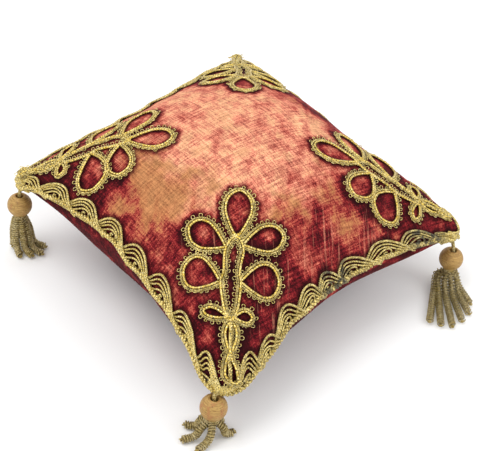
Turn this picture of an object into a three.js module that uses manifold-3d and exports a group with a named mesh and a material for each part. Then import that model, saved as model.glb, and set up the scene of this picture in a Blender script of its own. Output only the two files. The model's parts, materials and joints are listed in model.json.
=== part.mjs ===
// A plump square velvet cushion, edged with scalloped metal braid, with a looped
// cord motif in each corner of its face and a beaded tassel under each corner.
// Millimetres, +Z up. The cushion lies on its back: the origin is on the surface
// that it rests on, under its middle, and its sides run along X and Y.
import * as THREE from "three";
import { mergeVertices } from "three/addons/utils/BufferGeometryUtils.js";
import Module from "manifold-3d";

const wasm = await Module();
wasm.setup();

// Driving dimensions of the cushion.
const HALF = 140; // half of the cut side, corner to corner 280
const CROWN = 37; // how far the face swells above the sheet stretched between the seams
const CROWN_POWER = 0.53; // under 1: full shoulders beside the seams
const FLAT = 0.46; // share of the way out to the seams at which the underside meets the surface
const BELLY_POWER = 0.35; // far under 1: it swells out below the seams before it runs in
const CORNER_POWER = 1.1; // the same in the corners, which are thin
const CORNER_SHARE = 6; // how closely the thin part keeps to the corners
const PRESSED = 3; // how softly it rounds off into its flat patch
const SEAM = 3; // thickness of the seam
const RISE_POWER = 0.6; // under 1: the seam climbs quickly out of each drooping corner
const FOLD_POWER = 1.6; // the same deep under the cushion, where the corners' folds die out
const ROUND = 10; // radius of a blunt corner
const GRID = 22; // facets along a side

// Corners of the seam: the plan is a little skewed and the corners droop unevenly.
const CORNERS = {
  front: { u: -1, v: -1, x: -142, y: -142, z: 40 },
  right: { u: 1, v: -1, x: 141, y: -142, z: 47 },
  left: { u: -1, v: 1, x: -130, y: 130, z: 65 },
  back: { u: 1, v: 1, x: 146, y: 146, z: 80 },
};

// Sides between them: pull is how far the middle is drawn in, rise how far it stands
// above the straight line. Braid: its scallops, the share of the side where they start
// and end, and how far the middle ones are crowded towards the front.
const SIDES = {
  front_left: { from: "front", to: "left", pull: 16, rise: 26, scallops: 8, start: 0, end: 1, crowd: 0 },
  front_right: { from: "front", to: "right", pull: 18.5, rise: 23, scallops: 8, start: 0.02, end: 0.9, crowd: 0.05 },
  back_left: { from: "left", to: "back", pull: 21.5, rise: 15, scallops: 8, start: 0, end: 1, crowd: 0 },
  back_right: { from: "right", to: "back", pull: 17.5, rise: 20.5, scallops: 8, start: 0, end: 1, crowd: 0 },
};

// Braid sewn over the seam. foot, valley and crest are measured along the cloth:
// below the seam, above it between two scallops, and above it at a scallop's top.
const BRAID = { gap: 0.7, clear: 0.42, thickness: 3, foot: 6.5, valley: 3.5, crest: 10, facets: 4, mitre: 0.7 };

// Cord of the corner motifs, a flat gimp laid on the face. Near the seam it climbs
// over the braid: full lift under `full` from the seam, none beyond `from`. Where two
// cords cross, `step_over` sets one a little higher than the other.
const CORD = { width: 5, height: 3, gap: 0.75, facets: 4, step: 13, step_over: 0.35 };
const LIFT = { height: 3.9, full: 11, from: 17 };

// Loops of one motif: s runs from the corner along the diagonal, t across it.
const LOOPS = [
  { s: 86, t: -1, tipS: 129, tipT: 0, width: 29 },
  { s: 79, t: 9, tipS: 95, tipT: 48, width: 23 },
  { s: 82, t: -8, tipS: 97, tipT: -48, width: 22 },
  { s: 56, t: 12, tipS: 67, tipT: 50, width: 22 },
  { s: 57, t: -9, tipS: 66, tipT: -49, width: 23 },
  { s: 35, t: 0, tipS: 40, tipT: 28, width: 11 },
  { s: 36, t: -5, tipS: 39, tipT: -26, width: 12 },
  { s: 16, t: -4, tipS: 36, tipT: -3, width: 17 },
  { s: 16, t: -4, tipS: 6, tipT: -2, width: 12 },
];
// Half of a loop's outline: along it from its foot to its tip, and out from its middle.
const PETAL = { along: [0, 0.28, 0.58, 0.85, 1], out: [0.1, 0.66, 1, 0.78, 0] };
const STEMS = [
  { s: [86, 79, 70, 62, 56, 47, 39, 34], t: [-1, 9, 9.5, 9, 12, 8, 3.5, -2] },
  { s: [86, 81, 72, 62, 56, 47, 40, 34], t: [-1, -8, -6, -6, -9, -9.5, -8, -3] },
  { s: [35, 35], t: [-8, 3] },
  { s: [36, 29, 22, 15], t: [-3, -3.5, -4, -4] },
];
// How each corner's motif sits: swing turns it about its knot, shift moves its top sideways.
const KNOT = { s: 35, t: -3 };
const MOTIFS = {
  front: { swing: 0, shift: 0 },
  right: { swing: 0, shift: -10 },
  left: { swing: -0.17, shift: 12 },
  back: { swing: 0, shift: 0 },
};

// Turned bead with a wide hole, and the cord through it with the knot that holds the strands.
const BEAD = { radius: 10.5, hole: 4, facets: 14, rings: 6 };
const HANGER = { radius: 1.7, knot: 5.2, drop: 10, length: 5, facets: 6 };
const STRAND = { radius: 2.6, below: 1, root: 3.2, steps: 7, clear: 0.6 };

// Tassels. x, y, z place the bead's centre from its corner, tieX, tieY, tieZ the top of its
// cord, against the braid; above is how far the cord rises from the bead before it turns
// to there, and leanX and leanY tip the bead's axis.
// Strands: turn is where one leaves the knot, swell how far it stands out below it, and
// x, y where it ends in plan, from the bead; over is its end's height above the surface.
const TASSELS = {
  front: {
    x: -5, y: 2, z: -10, leanX: 0, leanY: 0, tieX: 2, tieY: 2.5, tieZ: 1, above: 3.5,
    strands: [
      { turn: -60, swell: 9, x: 13, y: -11, over: 0 },
      { turn: 5, swell: 9, x: 15, y: 5, over: 0 },
      { turn: 60, swell: 8, x: 5, y: 16, over: 0 },
      { turn: 110, swell: 9, x: -10, y: 18, over: 0 },
      { turn: 165, swell: 9, x: -22, y: 8, over: 0 },
      { turn: 225, swell: 9, x: -20, y: -7, over: 0 },
    ],
  },
  right: {
    x: -6, y: 1, z: -18, leanX: 0, leanY: 0, tieX: -4.5, tieY: 4.5, tieZ: -2, above: 0.5,
    strands: [
      { turn: 240, swell: 8, x: -30, y: -42, over: 0 },
      { turn: 205, swell: 9, x: -42, y: -41, over: 0 },
      { turn: 165, swell: 9, x: -49, y: -34, over: 0 },
      { turn: 130, swell: 9, x: -53, y: -25, over: 0 },
      { turn: 285, swell: 8, x: -18, y: -40, over: 0 },
      { turn: 335, swell: 8, x: -7, y: -33, over: 0 },
    ],
  },
  left: {
    x: 3, y: -5, z: -18, leanX: 0, leanY: 0, tieX: 4.5, tieY: -4.5, tieZ: -2.2, above: 0.5,
    strands: [
      { turn: 200, swell: 7, x: -9, y: -12, over: 0 },
      { turn: 250, swell: 7, x: -1, y: -18, over: 0 },
      { turn: 298, swell: 7, x: 7, y: -21, over: 0 },
      { turn: 345, swell: 8, x: 15, y: -15, over: 0 },
      { turn: 60, swell: 6, x: 9, y: 2, over: 0 },
      { turn: 130, swell: 6, x: -6, y: 3, over: 0 },
    ],
  },
  back: {
    x: -4, y: -4, z: -18, leanX: 0, leanY: 0, tieX: -4.5, tieY: -4.6, tieZ: -2.6, above: 0.5,
    strands: [
      { turn: 10, swell: 6, x: 12, y: 1, over: 1 },
      { turn: 70, swell: 7, x: 5, y: 12, over: 2 },
      { turn: 130, swell: 6, x: -6, y: 10, over: 0 },
      { turn: 190, swell: 6, x: -11, y: -1, over: 3 },
      { turn: 250, swell: 7, x: -4, y: -11, over: 1 },
      { turn: 310, swell: 6, x: 7, y: -9, over: 4 },
    ],
  },
};

const velvet = new THREE.MeshStandardMaterial({ color: 0x8a2326, roughness: 0.9, metalness: 0 });
const giltCord = new THREE.MeshStandardMaterial({ color: 0xc9a24a, roughness: 0.45, metalness: 0.7 });
const giltBraid = new THREE.MeshStandardMaterial({ color: 0xb8924a, roughness: 0.55, metalness: 0.6 });
const giltWood = new THREE.MeshStandardMaterial({ color: 0xb5883f, roughness: 0.6, metalness: 0.1 });
const bullion = new THREE.MeshStandardMaterial({ color: 0x9a8a66, roughness: 0.5, metalness: 0.7 });

const lerp = THREE.MathUtils.lerp;
const clamp = THREE.MathUtils.clamp;
const smoothstep = THREE.MathUtils.smoothstep;

// The cloth is drawn over a pattern square, u and v from -1 to 1. This is the point on the
// straight line between a side's corners, drawn in and lifted to the seam.
function seamPoint(name, share, power) {
  const side = SIDES[name];
  const a = CORNERS[side.from];
  const b = CORNERS[side.to];
  const bow = Math.max(0, 4 * share * (1 - share));
  const inward = { front_left: [1, 0], back_right: [-1, 0], front_right: [0, 1], back_left: [0, -1] }[name];
  return new THREE.Vector3(
    lerp(a.x, b.x, share) + inward[0] * side.pull * bow,
    lerp(a.y, b.y, share) + inward[1] * side.pull * bow,
    lerp(a.z, b.z, share) + side.rise * bow ** power,
  );
}

// The sheet stretched between the four seams.
function sheet(u, v, power) {
  const s = (u + 1) / 2;
  const t = (v + 1) / 2;
  const point = new THREE.Vector3();
  point.addScaledVector(seamPoint("front_left", t, power), 1 - s);
  point.addScaledVector(seamPoint("back_right", t, power), s);
  point.addScaledVector(seamPoint("front_right", s, power), 1 - t);
  point.addScaledVector(seamPoint("back_left", s, power), t);
  for (const corner of Object.values(CORNERS)) {
    const weight = ((1 + corner.u * u) / 2) * ((1 + corner.v * v) / 2);
    point.addScaledVector(new THREE.Vector3(corner.x, corner.y, corner.z), -weight);
  }
  return point;
}

// The pattern square with its corners rounded off.
function blunted(u, v, power = RISE_POWER) {
  const r = ROUND / HALF;
  const a = (Math.abs(u) - 1 + r) / r;
  const b = (Math.abs(v) - 1 + r) / r;
  if (a <= 0 || b <= 0) return sheet(u, v, power);
  return sheet(
    Math.sign(u) * (1 - r + r * a * Math.sqrt(1 - (b * b) / 2)),
    Math.sign(v) * (1 - r + r * b * Math.sqrt(1 - (a * a) / 2)),
    power,
  );
}

function swell(u, v, power) {
  return Math.max(0, (1 - u * u) * (1 - v * v)) ** power;
}

function face(u, v) {
  const point = blunted(u, v);
  point.z += SEAM / 2 + CROWN * swell(u, v, CROWN_POWER);
  return point;
}

// The underside runs in from the height of the nearest seam to the flat patch.
function underside(u, v) {
  const point = blunted(u, v);
  const most = Math.max(Math.abs(u), Math.abs(v), 1e-6);
  const power = lerp(FOLD_POWER, RISE_POWER, most ** 6);
  const rim = blunted(u / most, v / most, power).z - SEAM / 2;
  const spread = Math.sqrt(1 - (1 - u * u) * (1 - v * v));
  const left = clamp((1 - spread) / (1 - FLAT), 0, 2);
  const cornering = (Math.min(Math.abs(u), Math.abs(v)) / most) ** CORNER_SHARE;
  const free = rim * (1 - left ** lerp(BELLY_POWER, CORNER_POWER, cornering));
  if (free < PRESSED) point.z = free < -PRESSED ? 0 : (free + PRESSED) ** 2 / (4 * PRESSED);
  else point.z = free;
  return point;
}

// A place on a surface with its outward normal.
function placeOn(surface, u, v) {
  const h = 0.004;
  const u0 = clamp(u, -1 + h, 1 - h);
  const v0 = clamp(v, -1 + h, 1 - h);
  const alongU = surface(u0 + h, v0).sub(surface(u0 - h, v0));
  const alongV = surface(u0, v0 + h).sub(surface(u0, v0 - h));
  const normal = alongU.cross(alongV).normalize();
  if (surface === underside) normal.negate();
  return { point: surface(u, v), normal };
}

// A place on the rim of a side: `reach` is the length along the cloth from the middle
// of the seam, up on the face when positive and down on the underside when negative.
function placeOnRim(name, share, reach) {
  const along = 2 * share - 1;
  const edge = {
    front_left: [-1, along],
    back_right: [1, along],
    front_right: [along, -1],
    back_left: [along, 1],
  }[name];
  const surface = reach > 0 ? face : underside;
  const wall = SEAM / 2;
  let left = Math.abs(reach) - wall;
  let inset = 0;
  let last = surface(edge[0], edge[1]);
  if (left > 0) {
    for (let k = 1; k < 80; k += 1) {
      const next = (k / 80) ** 2 * 0.3;
      const point = surface(edge[0] * (1 - next), edge[1] * (1 - next));
      const run = point.distanceTo(last);
      if (run >= left) {
        inset = lerp(inset, next, left / run);
        break;
      }
      left -= run;
      inset = next;
      last = point;
    }
  }
  const out = blunted(edge[0], edge[1]).sub(blunted(edge[0] * 0.97, edge[1] * 0.97));
  const outward = out.setZ(0).normalize();
  const place = placeOn(surface, edge[0] * (1 - inset), edge[1] * (1 - inset));
  if (left < 0 || inset === 0) {
    place.point = blunted(edge[0], edge[1]);
    place.point.z += clamp(reach, -wall, wall);
  }
  const turn = smoothstep(Math.abs(reach), 0, wall + 2.5);
  place.normal.multiplyScalar(turn).addScaledVector(outward, 1 - turn).normalize();
  return place;
}

// How far along the cloth a place on the face is from the seam.
function reachOf(u, v) {
  const inset = 1 - Math.max(Math.abs(u), Math.abs(v));
  const scale = 1 / (1 - inset);
  let length = SEAM / 2;
  let last = face(u * scale, v * scale);
  for (let k = 1; k <= 12; k += 1) {
    const shrink = lerp(scale, 1, (k / 12) ** 2);
    const point = face(u * shrink, v * shrink);
    length += point.distanceTo(last);
    last = point;
  }
  return length;
}

// Moves every vertex of a geometry, and closes it again.
function bend(geometry, map) {
  const position = geometry.getAttribute("position");
  for (let i = 0; i < position.count; i += 1) {
    const to = map(new THREE.Vector3().fromBufferAttribute(position, i));
    position.setXYZ(i, to.x, to.y, to.z);
  }
  return geometry;
}

function closed(geometry) {
  geometry.deleteAttribute("normal");
  geometry.deleteAttribute("uv");
  return mergeVertices(geometry, 1e-3);
}

function solidOf(geometry) {
  const merged = closed(geometry);
  return new wasm.Manifold(
    new wasm.Mesh({
      numProp: 3,
      vertProperties: new Float32Array(merged.getAttribute("position").array),
      triVerts: new Uint32Array(merged.index.array),
    }),
  );
}

function geometryOf(solid) {
  const mesh = solid.getMesh();
  const geometry = new THREE.BufferGeometry();
  geometry.setAttribute("position", new THREE.BufferAttribute(mesh.vertProperties, 3));
  geometry.setIndex(new THREE.BufferAttribute(mesh.triVerts, 1));
  return geometry;
}

function joined(geometries) {
  return geometryOf(geometries.map(solidOf).reduce((all, next) => all.add(next)));
}

// The filled cushion, or the same shape grown all round by `grow`.
function cushionGeometry(grow = 0) {
  const box = new THREE.BoxGeometry(2, 2, 2, GRID, GRID, 1);
  const cushion = closed(
    bend(box, (p) => {
      const u = Math.sin((p.x * Math.PI) / 2);
      const v = Math.sin((p.y * Math.PI) / 2);
      return (p.z > 0 ? face : underside)(u, v);
    }),
  );
  cushion.computeVertexNormals();
  const normals = cushion.getAttribute("normal");
  let vertex = 0;
  return bend(cushion, (p) => {
    const normal = new THREE.Vector3().fromBufferAttribute(normals, vertex);
    vertex += 1;
    return p.addScaledVector(normal, grow);
  });
}

// Height of the scalloped edge above the seam, at a share of the side.
function braidReach(side, share) {
  const span = clamp((share - side.start) / (side.end - side.start), 0, 1);
  const crowded = span + side.crowd * Math.sin(2 * Math.PI * span);
  const arch = Math.abs(Math.sin(Math.PI * side.scallops * crowded)) ** 0.7;
  return lerp(BRAID.valley, BRAID.crest, arch);
}

// A band bent round the seam, and trimmed where it comes too near the cloth.
function braidGeometry(name, clearance) {
  const side = SIDES[name];
  const trim = BRAID.mitre / (2 * HALF);
  const leftwards = name.endsWith("left");
  const band = new THREE.BoxGeometry(1, 1, 1, side.scallops * BRAID.facets, 4, 1);
  bend(band, (p) => {
    const along = leftwards ? 0.5 - p.x : 0.5 + p.x;
    const closer = along - 0.05 * Math.sin(2 * Math.PI * along);
    const share = lerp(trim, 1 - trim, closer);
    const top = braidReach(side, share);
    const row = Math.round((p.y + 0.5) * 4);
    const reach = [-BRAID.foot, -2, 1, top / 2, top][row];
    const place = placeOnRim(name, share, reach);
    const height = BRAID.gap + (p.z > 0 ? BRAID.thickness : 0);
    return place.point.addScaledVector(place.normal, height);
  });
  return geometryOf(solidOf(band).subtract(clearance));
}

// A place on the face for a motif's s and t, lifted over the braid, at a height above it.
function placeOnMotif(name, s, t) {
  const corner = CORNERS[name];
  const { swing, shift } = MOTIFS[name];
  const ds = s - KNOT.s;
  const dt = t - KNOT.t;
  const far = Math.max(0, ds) * swing;
  const s1 = s - (far * dt) / Math.max(ds, 1) / 2;
  const t1 = t + far + shift * smoothstep(s, 35, 82);
  const axis = new THREE.Vector2(-corner.u, -corner.v).multiplyScalar(Math.SQRT1_2);
  const u = corner.u + (s1 * axis.x - t1 * axis.y) / HALF;
  const v = corner.v + (s1 * axis.y + t1 * axis.x) / HALF;
  const place = placeOn(face, u, v);
  const lift = LIFT.height * (1 - smoothstep(reachOf(u, v), LIFT.full, LIFT.from));
  place.point.addScaledVector(place.normal, CORD.gap + CORD.height / 2 + lift);
  return place;
}

// A cord through points [s, t] of a motif, flat side down.
function cordGeometry(name, points, raise = 0) {
  const path = new THREE.CatmullRomCurve3(points.map(([s, t]) => new THREE.Vector3(s, t, 0)), false, "centripetal");
  const steps = Math.max(2, Math.round(path.getLength() / CORD.step));
  const wide = 1 / Math.cos(Math.PI / CORD.facets);
  const cord = new THREE.CylinderGeometry(wide, wide, 1, CORD.facets, steps, false, Math.PI / CORD.facets);
  return bend(cord, (p) => {
    const share = p.y + 0.5;
    const at = path.getPointAt(share);
    const ahead = path.getPointAt(Math.min(1, share + 0.01));
    const behind = path.getPointAt(Math.max(0, share - 0.01));
    const { point, normal } = placeOnMotif(name, at.x, at.y);
    const forward = placeOnMotif(name, ahead.x, ahead.y).point;
    const tangent = forward.sub(placeOnMotif(name, behind.x, behind.y).point).normalize();
    const aside = tangent.clone().cross(normal).normalize();
    return point
      .addScaledVector(aside, (p.x * CORD.width) / 2)
      .addScaledVector(normal, (p.z * CORD.height) / 2 + raise);
  });
}

// The two halves of one loop, from its foot to its tip.
function loopGeometries(name, loop) {
  const length = Math.hypot(loop.tipS - loop.s, loop.tipT - loop.t);
  const axis = [(loop.tipS - loop.s) / length, (loop.tipT - loop.t) / length];
  const half = (loop.width - CORD.width) / 2;
  return [-1, 1].map((hand) =>
    cordGeometry(
      name,
      PETAL.along.map((share, i) => {
        const out = hand * half * PETAL.out[i];
        const run = share * (length - CORD.width / 2);
        return [loop.s + axis[0] * run - axis[1] * out, loop.t + axis[1] * run + axis[0] * out];
      }),
      hand > 0 ? CORD.step_over : 0,
    ),
  );
}

function motifGeometry(name) {
  const loops = LOOPS.flatMap((loop) => loopGeometries(name, loop));
  const stems = STEMS.map((stem) => cordGeometry(name, stem.s.map((s, i) => [s, stem.t[i]]), CORD.step_over / 2));
  return joined([...loops, ...stems]);
}

// Turns a shape that stands on +Z to a tassel's lean, and puts it at its bead's centre.
function hung(geometry, name) {
  const { x, y, z, leanX, leanY } = TASSELS[name];
  const corner = CORNERS[name];
  const up = new THREE.Vector3(leanX, leanY, 1).normalize();
  const turn = new THREE.Quaternion().setFromUnitVectors(new THREE.Vector3(0, 0, 1), up);
  return geometry.applyQuaternion(turn).translate(corner.x + x, corner.y + y, corner.z + z);
}

function beadGeometry(name) {
  const widest = Math.acos(BEAD.hole / BEAD.radius);
  const profile = [];
  for (let k = 0; k <= BEAD.rings; k += 1) {
    const angle = lerp(-widest, widest, k / BEAD.rings);
    profile.push(new THREE.Vector2(BEAD.radius * Math.cos(angle), BEAD.radius * Math.sin(angle)));
  }
  profile.push(profile[0].clone());
  return hung(closed(new THREE.LatheGeometry(profile, BEAD.facets).rotateX(Math.PI / 2)), name);
}

function strandGeometry(name, strand) {
  const bead = hung(new THREE.BufferGeometry().setFromPoints([
    new THREE.Vector3(0, 0, 0),
    new THREE.Vector3(0, 0, -BEAD.radius - STRAND.below),
  ]), name).getAttribute("position");
  const centre = new THREE.Vector3().fromBufferAttribute(bead, 0);
  const root = new THREE.Vector3().fromBufferAttribute(bead, 1);
  const turn = THREE.MathUtils.degToRad(strand.turn);
  const out = new THREE.Vector3(Math.cos(turn), Math.sin(turn), 0);
  const lowest = STRAND.radius + STRAND.clear;
  const end = new THREE.Vector3(centre.x + strand.x, centre.y + strand.y, lowest + strand.over);
  const start = root.clone().addScaledVector(out, STRAND.root * 0.5);
  const leave = root.clone().addScaledVector(out, STRAND.root);
  leave.z -= 2;
  const side = root.clone().addScaledVector(out, strand.swell);
  side.z = lerp(end.z, root.z, 0.55);
  const foot = side.clone().lerp(end, 0.3);
  foot.z = lerp(end.z, side.z, 0.12);
  const points = [start, leave, side, foot, end];
  const curve = new THREE.CatmullRomCurve3(points, false, "centripetal");
  const laid = curve.getSpacedPoints(STRAND.steps + 3);
  laid.forEach((p) => p.setZ(Math.max(p.z, lowest)));
  const square = new THREE.Shape();
  square.moveTo(STRAND.radius, 0);
  square.lineTo(0, STRAND.radius);
  square.lineTo(-STRAND.radius, 0);
  square.lineTo(0, -STRAND.radius);
  return new THREE.ExtrudeGeometry(square, {
    steps: STRAND.steps,
    bevelEnabled: false,
    extrudePath: new THREE.CatmullRomCurve3(laid, false, "centripetal"),
  });
}

// The cord runs straight through the bead, then turns to where it is sewn on.
function hangerGeometry(name) {
  const { tieX, tieY, tieZ, above } = TASSELS[name];
  const corner = CORNERS[name];
  const bead = hung(new THREE.BufferGeometry().setFromPoints([
    new THREE.Vector3(0, 0, -HANGER.drop - 1),
    new THREE.Vector3(0, 0, BEAD.radius * 0.4),
    new THREE.Vector3(0, 0, BEAD.radius + above),
  ]), name).getAttribute("position");
  const points = [0, 1, 2].map((i) => new THREE.Vector3().fromBufferAttribute(bead, i));
  points.push(new THREE.Vector3(corner.x + tieX, corner.y + tieY, corner.z + tieZ));
  const round = new THREE.Shape().absarc(0, 0, HANGER.radius, 0, 2 * Math.PI, false);
  return new THREE.ExtrudeGeometry(round, {
    steps: 6,
    curveSegments: HANGER.facets / 2,
    bevelEnabled: false,
    extrudePath: new THREE.CatmullRomCurve3(points, false, "centripetal"),
  });
}

function tasselGeometry(name) {
  const knot = new THREE.CylinderGeometry(HANGER.radius, HANGER.knot, HANGER.length, HANGER.facets);
  knot.rotateX(Math.PI / 2).translate(0, 0, -HANGER.drop - HANGER.length / 2);
  const strands = TASSELS[name].strands.map((strand) => strandGeometry(name, strand));
  return joined([hangerGeometry(name), hung(knot, name), ...strands]);
}

const part = new THREE.Group();
part.name = "communion_cushion";

function add(name, geometry, material) {
  const mesh = new THREE.Mesh(geometry, material);
  mesh.name = name;
  part.add(mesh);
}

add("cushion", cushionGeometry(), velvet);
const clearance = solidOf(cushionGeometry(BRAID.clear));
for (const name of Object.keys(SIDES)) add(`braid_${name}`, braidGeometry(name, clearance), giltBraid);
for (const name of Object.keys(CORNERS)) {
  add(`motif_${name}`, motifGeometry(name), giltCord);
  add(`bead_${name}`, beadGeometry(name), giltWood);
  add(`tassel_${name}`, tasselGeometry(name), bullion);
}

export default part;
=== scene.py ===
"""Looks of a square velvet cushion with scalloped braid, looped cord motifs and beaded tassels.

Metres, +Z up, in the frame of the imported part. The CAD cushion is stuffed and rubbed here, and
its plain trims are replaced by ones laid cord by cord.
"""

import json
import math

import bmesh
import bpy
import numpy as np
from bpy.props import FloatProperty, FloatVectorProperty, PointerProperty
from mathutils import Matrix, Quaternion, Vector, noise
from mathutils.bvhtree import BVHTree
from mathutils.kdtree import KDTree

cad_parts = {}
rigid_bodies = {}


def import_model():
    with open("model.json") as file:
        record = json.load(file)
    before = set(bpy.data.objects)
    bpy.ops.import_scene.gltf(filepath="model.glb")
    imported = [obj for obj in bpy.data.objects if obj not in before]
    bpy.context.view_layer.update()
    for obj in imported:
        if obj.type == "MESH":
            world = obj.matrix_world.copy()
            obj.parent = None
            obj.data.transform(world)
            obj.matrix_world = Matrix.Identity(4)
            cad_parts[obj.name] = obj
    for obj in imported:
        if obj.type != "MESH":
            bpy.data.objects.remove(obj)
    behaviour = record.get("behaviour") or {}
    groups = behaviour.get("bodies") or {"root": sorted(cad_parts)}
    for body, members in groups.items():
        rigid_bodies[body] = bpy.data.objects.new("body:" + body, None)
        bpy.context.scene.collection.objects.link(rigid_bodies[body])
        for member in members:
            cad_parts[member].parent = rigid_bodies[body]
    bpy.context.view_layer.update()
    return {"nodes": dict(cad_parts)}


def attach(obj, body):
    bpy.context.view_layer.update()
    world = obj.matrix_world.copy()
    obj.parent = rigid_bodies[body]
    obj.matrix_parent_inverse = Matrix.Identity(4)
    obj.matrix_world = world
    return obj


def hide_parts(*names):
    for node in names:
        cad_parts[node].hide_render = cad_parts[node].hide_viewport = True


bl_info = {
    "name": "Velvet Cushion",
    "version": (1, 0, 0),
    "blender": (4, 5, 0),
    "location": "View3D > Sidebar > Cushion",
    "description": "Dresses a velvet cushion with its braid, corner motifs, beads and tassels",
    "category": "Object",
}

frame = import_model()

MM = 0.001
HALF_MM = 140  # half a side of the pattern square, in millimetres
HALF = 0.140  # the same in metres
CROWN = 0.037  # how far the face swells above the sheet stretched between the seams
CROWN_POWER = 0.53  # how full the crown stays towards the seams
FLAT = 0.46  # share of the way out to the seams at which the underside meets the surface
BELLY_POWER = 0.35  # how the underside rises from its flat patch
CORNER_POWER = 1.1  # the same towards a corner
CORNER_SHARE = 6  # how narrowly that is kept to the corners
PRESSED = 0.003  # how softly the underside rounds off into its flat patch
SEAM = 0.003  # thickness at the seam
RISE_POWER = 0.6  # how a side's lift is spread along it
FOLD_POWER = 1.6  # the same for the middle of the underside
ROUND = 0.010  # radius of the corners
JUST_INSIDE = 0.97  # share of the way out, to tell which way a seam faces
RIM_STEPS = 80  # steps in from the seam, and how deep they go
RIM_DEPTH = 0.3
SEAM_STEPS = 200  # places along a side at which its filling out is worked out
FILL_FADE = (5 * MM, 30 * MM)  # where the filling out starts to fade, and where it ends
FRONT_DROOP = 0.3  # how far the two front sides sink for each millimetre that they stand out

# Corners of the seam: u and v on the pattern square, and the place.
CORNERS = {
    "front": (-1, -1, Vector((-0.142, -0.142, 0.040))),
    "right": (1, -1, Vector((0.141, -0.142, 0.047))),
    "left": (-1, 1, Vector((-0.130, 0.130, 0.065))),
    "back": (1, 1, Vector((0.146, 0.146, 0.080))),
}

# Sides: corners, and how far the middle is drawn in and lifted.
SIDES = {
    "front_left": {"ends": ("front", "left"), "pull": 0.0160, "rise": 0.026},
    "front_right": {"ends": ("front", "right"), "pull": 0.0185, "rise": 0.023},
    "back_left": {"ends": ("left", "back"), "pull": 0.0215, "rise": 0.015},
    "back_right": {"ends": ("right", "back"), "pull": 0.0175, "rise": 0.0205},
}
SCALLOPS = 8
UNEVEN_SIDE = "front_right"
INWARD = {
    "front_left": Vector((1, 0, 0)),
    "back_right": Vector((-1, 0, 0)),
    "front_right": Vector((0, 1, 0)),
    "back_left": Vector((0, -1, 0)),
}

# Loops of one motif, in millimetres: s and t of the foot, s and t of the tip, and the width.
# s runs along the diagonal from the corner, t across it.
LOOPS = [
    (86, -1, 129, 0, 29),
    (79, 9, 95, 48, 23),
    (82, -8, 97, -48, 22),
    (56, 12, 67, 50, 22),
    (57, -9, 66, -49, 23),
    (35, 0, 40, 28, 11),
    (36, -5, 39, -26, 12),
    (16, -4, 36, -3, 17),
    (16, -4, 6, -2, 12),
]
# Half of a loop's outline: shares of its length and of its half width.
PETAL_ALONG = (0, 0.28, 0.58, 0.85, 1)
PETAL_OUT = (0.1, 0.66, 1, 0.78, 0)

# Stems: s of the points, t of the points, and the side on which the edging lies.
STEMS = [
    ((90, 84, 77, 70, 62, 56, 47, 39, 34), (-5, 4, 8, 8.5, 8, 10, 7.5, 3.5, -2), 1),
    ((90, 84, 77, 71, 62, 56, 47, 40, 34), (4, -5, -8, -7, -6, -8, -8, -7, -3), -1),
    ((35, 35), (-8, 3), 1),
    ((36, 29, 22, 15), (-3, -3.5, -4, -4), 1),
]

# How each motif sits: it swings about its knot, and its top is shifted sideways from s to s.
KNOT = (35, -3)
SWING = {"front": 0.0, "right": 0.0, "left": -0.17, "back": 0.0}
SHIFT = {"front": 0.0, "right": -10.0, "left": 12.0, "back": 0.0}
SHIFT_ALONG = (35, 82)

# How high a motif climbs over the braid, full up to one reach from the seam and gone at another.
LIFT = (3.9 * MM, 11 * MM, 17 * MM)

# Tassels, in millimetres from the corner: bead centre, tie, rise of the cord above the bead;
# strands: turn, swell, x and y of the end from the bead, height of the end.
TASSELS = {
    "front": ((-5, 2, -10), (2, 2.5, 1), 3.5, [
        (-60, 9, 13, -11, 0), (5, 9, 15, 5, 0), (60, 8, 5, 16, 0),
        (110, 9, -10, 18, 0), (165, 9, -22, 8, 0), (225, 9, -20, -7, 0)]),
    "right": ((-6, 1, -18), (-4.5, 4.5, -2), 0.5, [
        (240, 8, -30, -42, 0), (205, 9, -42, -41, 0), (165, 9, -49, -34, 0),
        (130, 9, -53, -25, 0), (285, 8, -18, -40, 0), (335, 8, -7, -33, 0)]),
    "left": ((3, -5, -18), (4.5, -4.5, -2.2), 0.5, [
        (200, 7, -9, -12, 0), (250, 7, -1, -18, 0), (298, 7, 7, -21, 0),
        (345, 8, 15, -15, 0), (60, 6, 9, 2, 0), (130, 6, -6, 3, 0)]),
    "back": ((-4, -4, -18), (-4.5, -4.6, -2.6), 0.5, [
        (10, 6, 12, 1, 1), (70, 7, 5, 12, 2), (130, 6, -6, 10, 0),
        (190, 6, -11, -1, 3), (250, 7, -4, -11, 1), (310, 6, 7, -9, 4)]),
}
BEAD_RADIUS = 10.5 * MM
BEAD_HOLE = 4 * MM
STRAND_RADIUS = 3.4 * MM

# Where knees have rubbed the pile: how far from each seam it starts and is complete, in
# millimetres, and the same along the line from the front corner to the back one.
RUB_FROM = {"front_left": (12, 42), "front_right": (20, 72), "back_left": (2, 12), "back_right": (6, 58)}
RUB_FRONT = (-170, -96)
RUB_BACK = (225, 120)

# Single patches: x, y and radius in millimetres, and how much more or less they are rubbed.
PATCHES = [
    (-100, -4, 24, 0.45), (-112, 22, 12, 0.4), (-118, 63, 6, 0.6), (-110, -44, 15, 0.34),
    (64, -120, 12, 0.6), (24, -98, 16, 0.35), (97, -118, 8, 0.4), (-28, -104, 14, 0.3),
    (-104, -64, 7, 0.35), (-78, 44, 26, 0.3), (-122, -22, 6, 0.3), (-96, 78, 12, 0.35),
    (-30, -62, 20, -0.22), (-2, -58, 12, -0.15), (92, -48, 15, 0.35), (-74, 108, 12, 0.35),
    (44, -62, 13, -0.25), (2, 40, 11, -0.2), (126, 24, 22, 0.28), (130, 66, 20, 0.28),
    (122, -22, 22, 0.25), (118, -62, 18, 0.2), (-52, -34, 10, -0.2), (-116, 8, 9, -0.3),
    (20, -30, 9, -0.15), (-30, 60, 9, -0.15),
]

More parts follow.
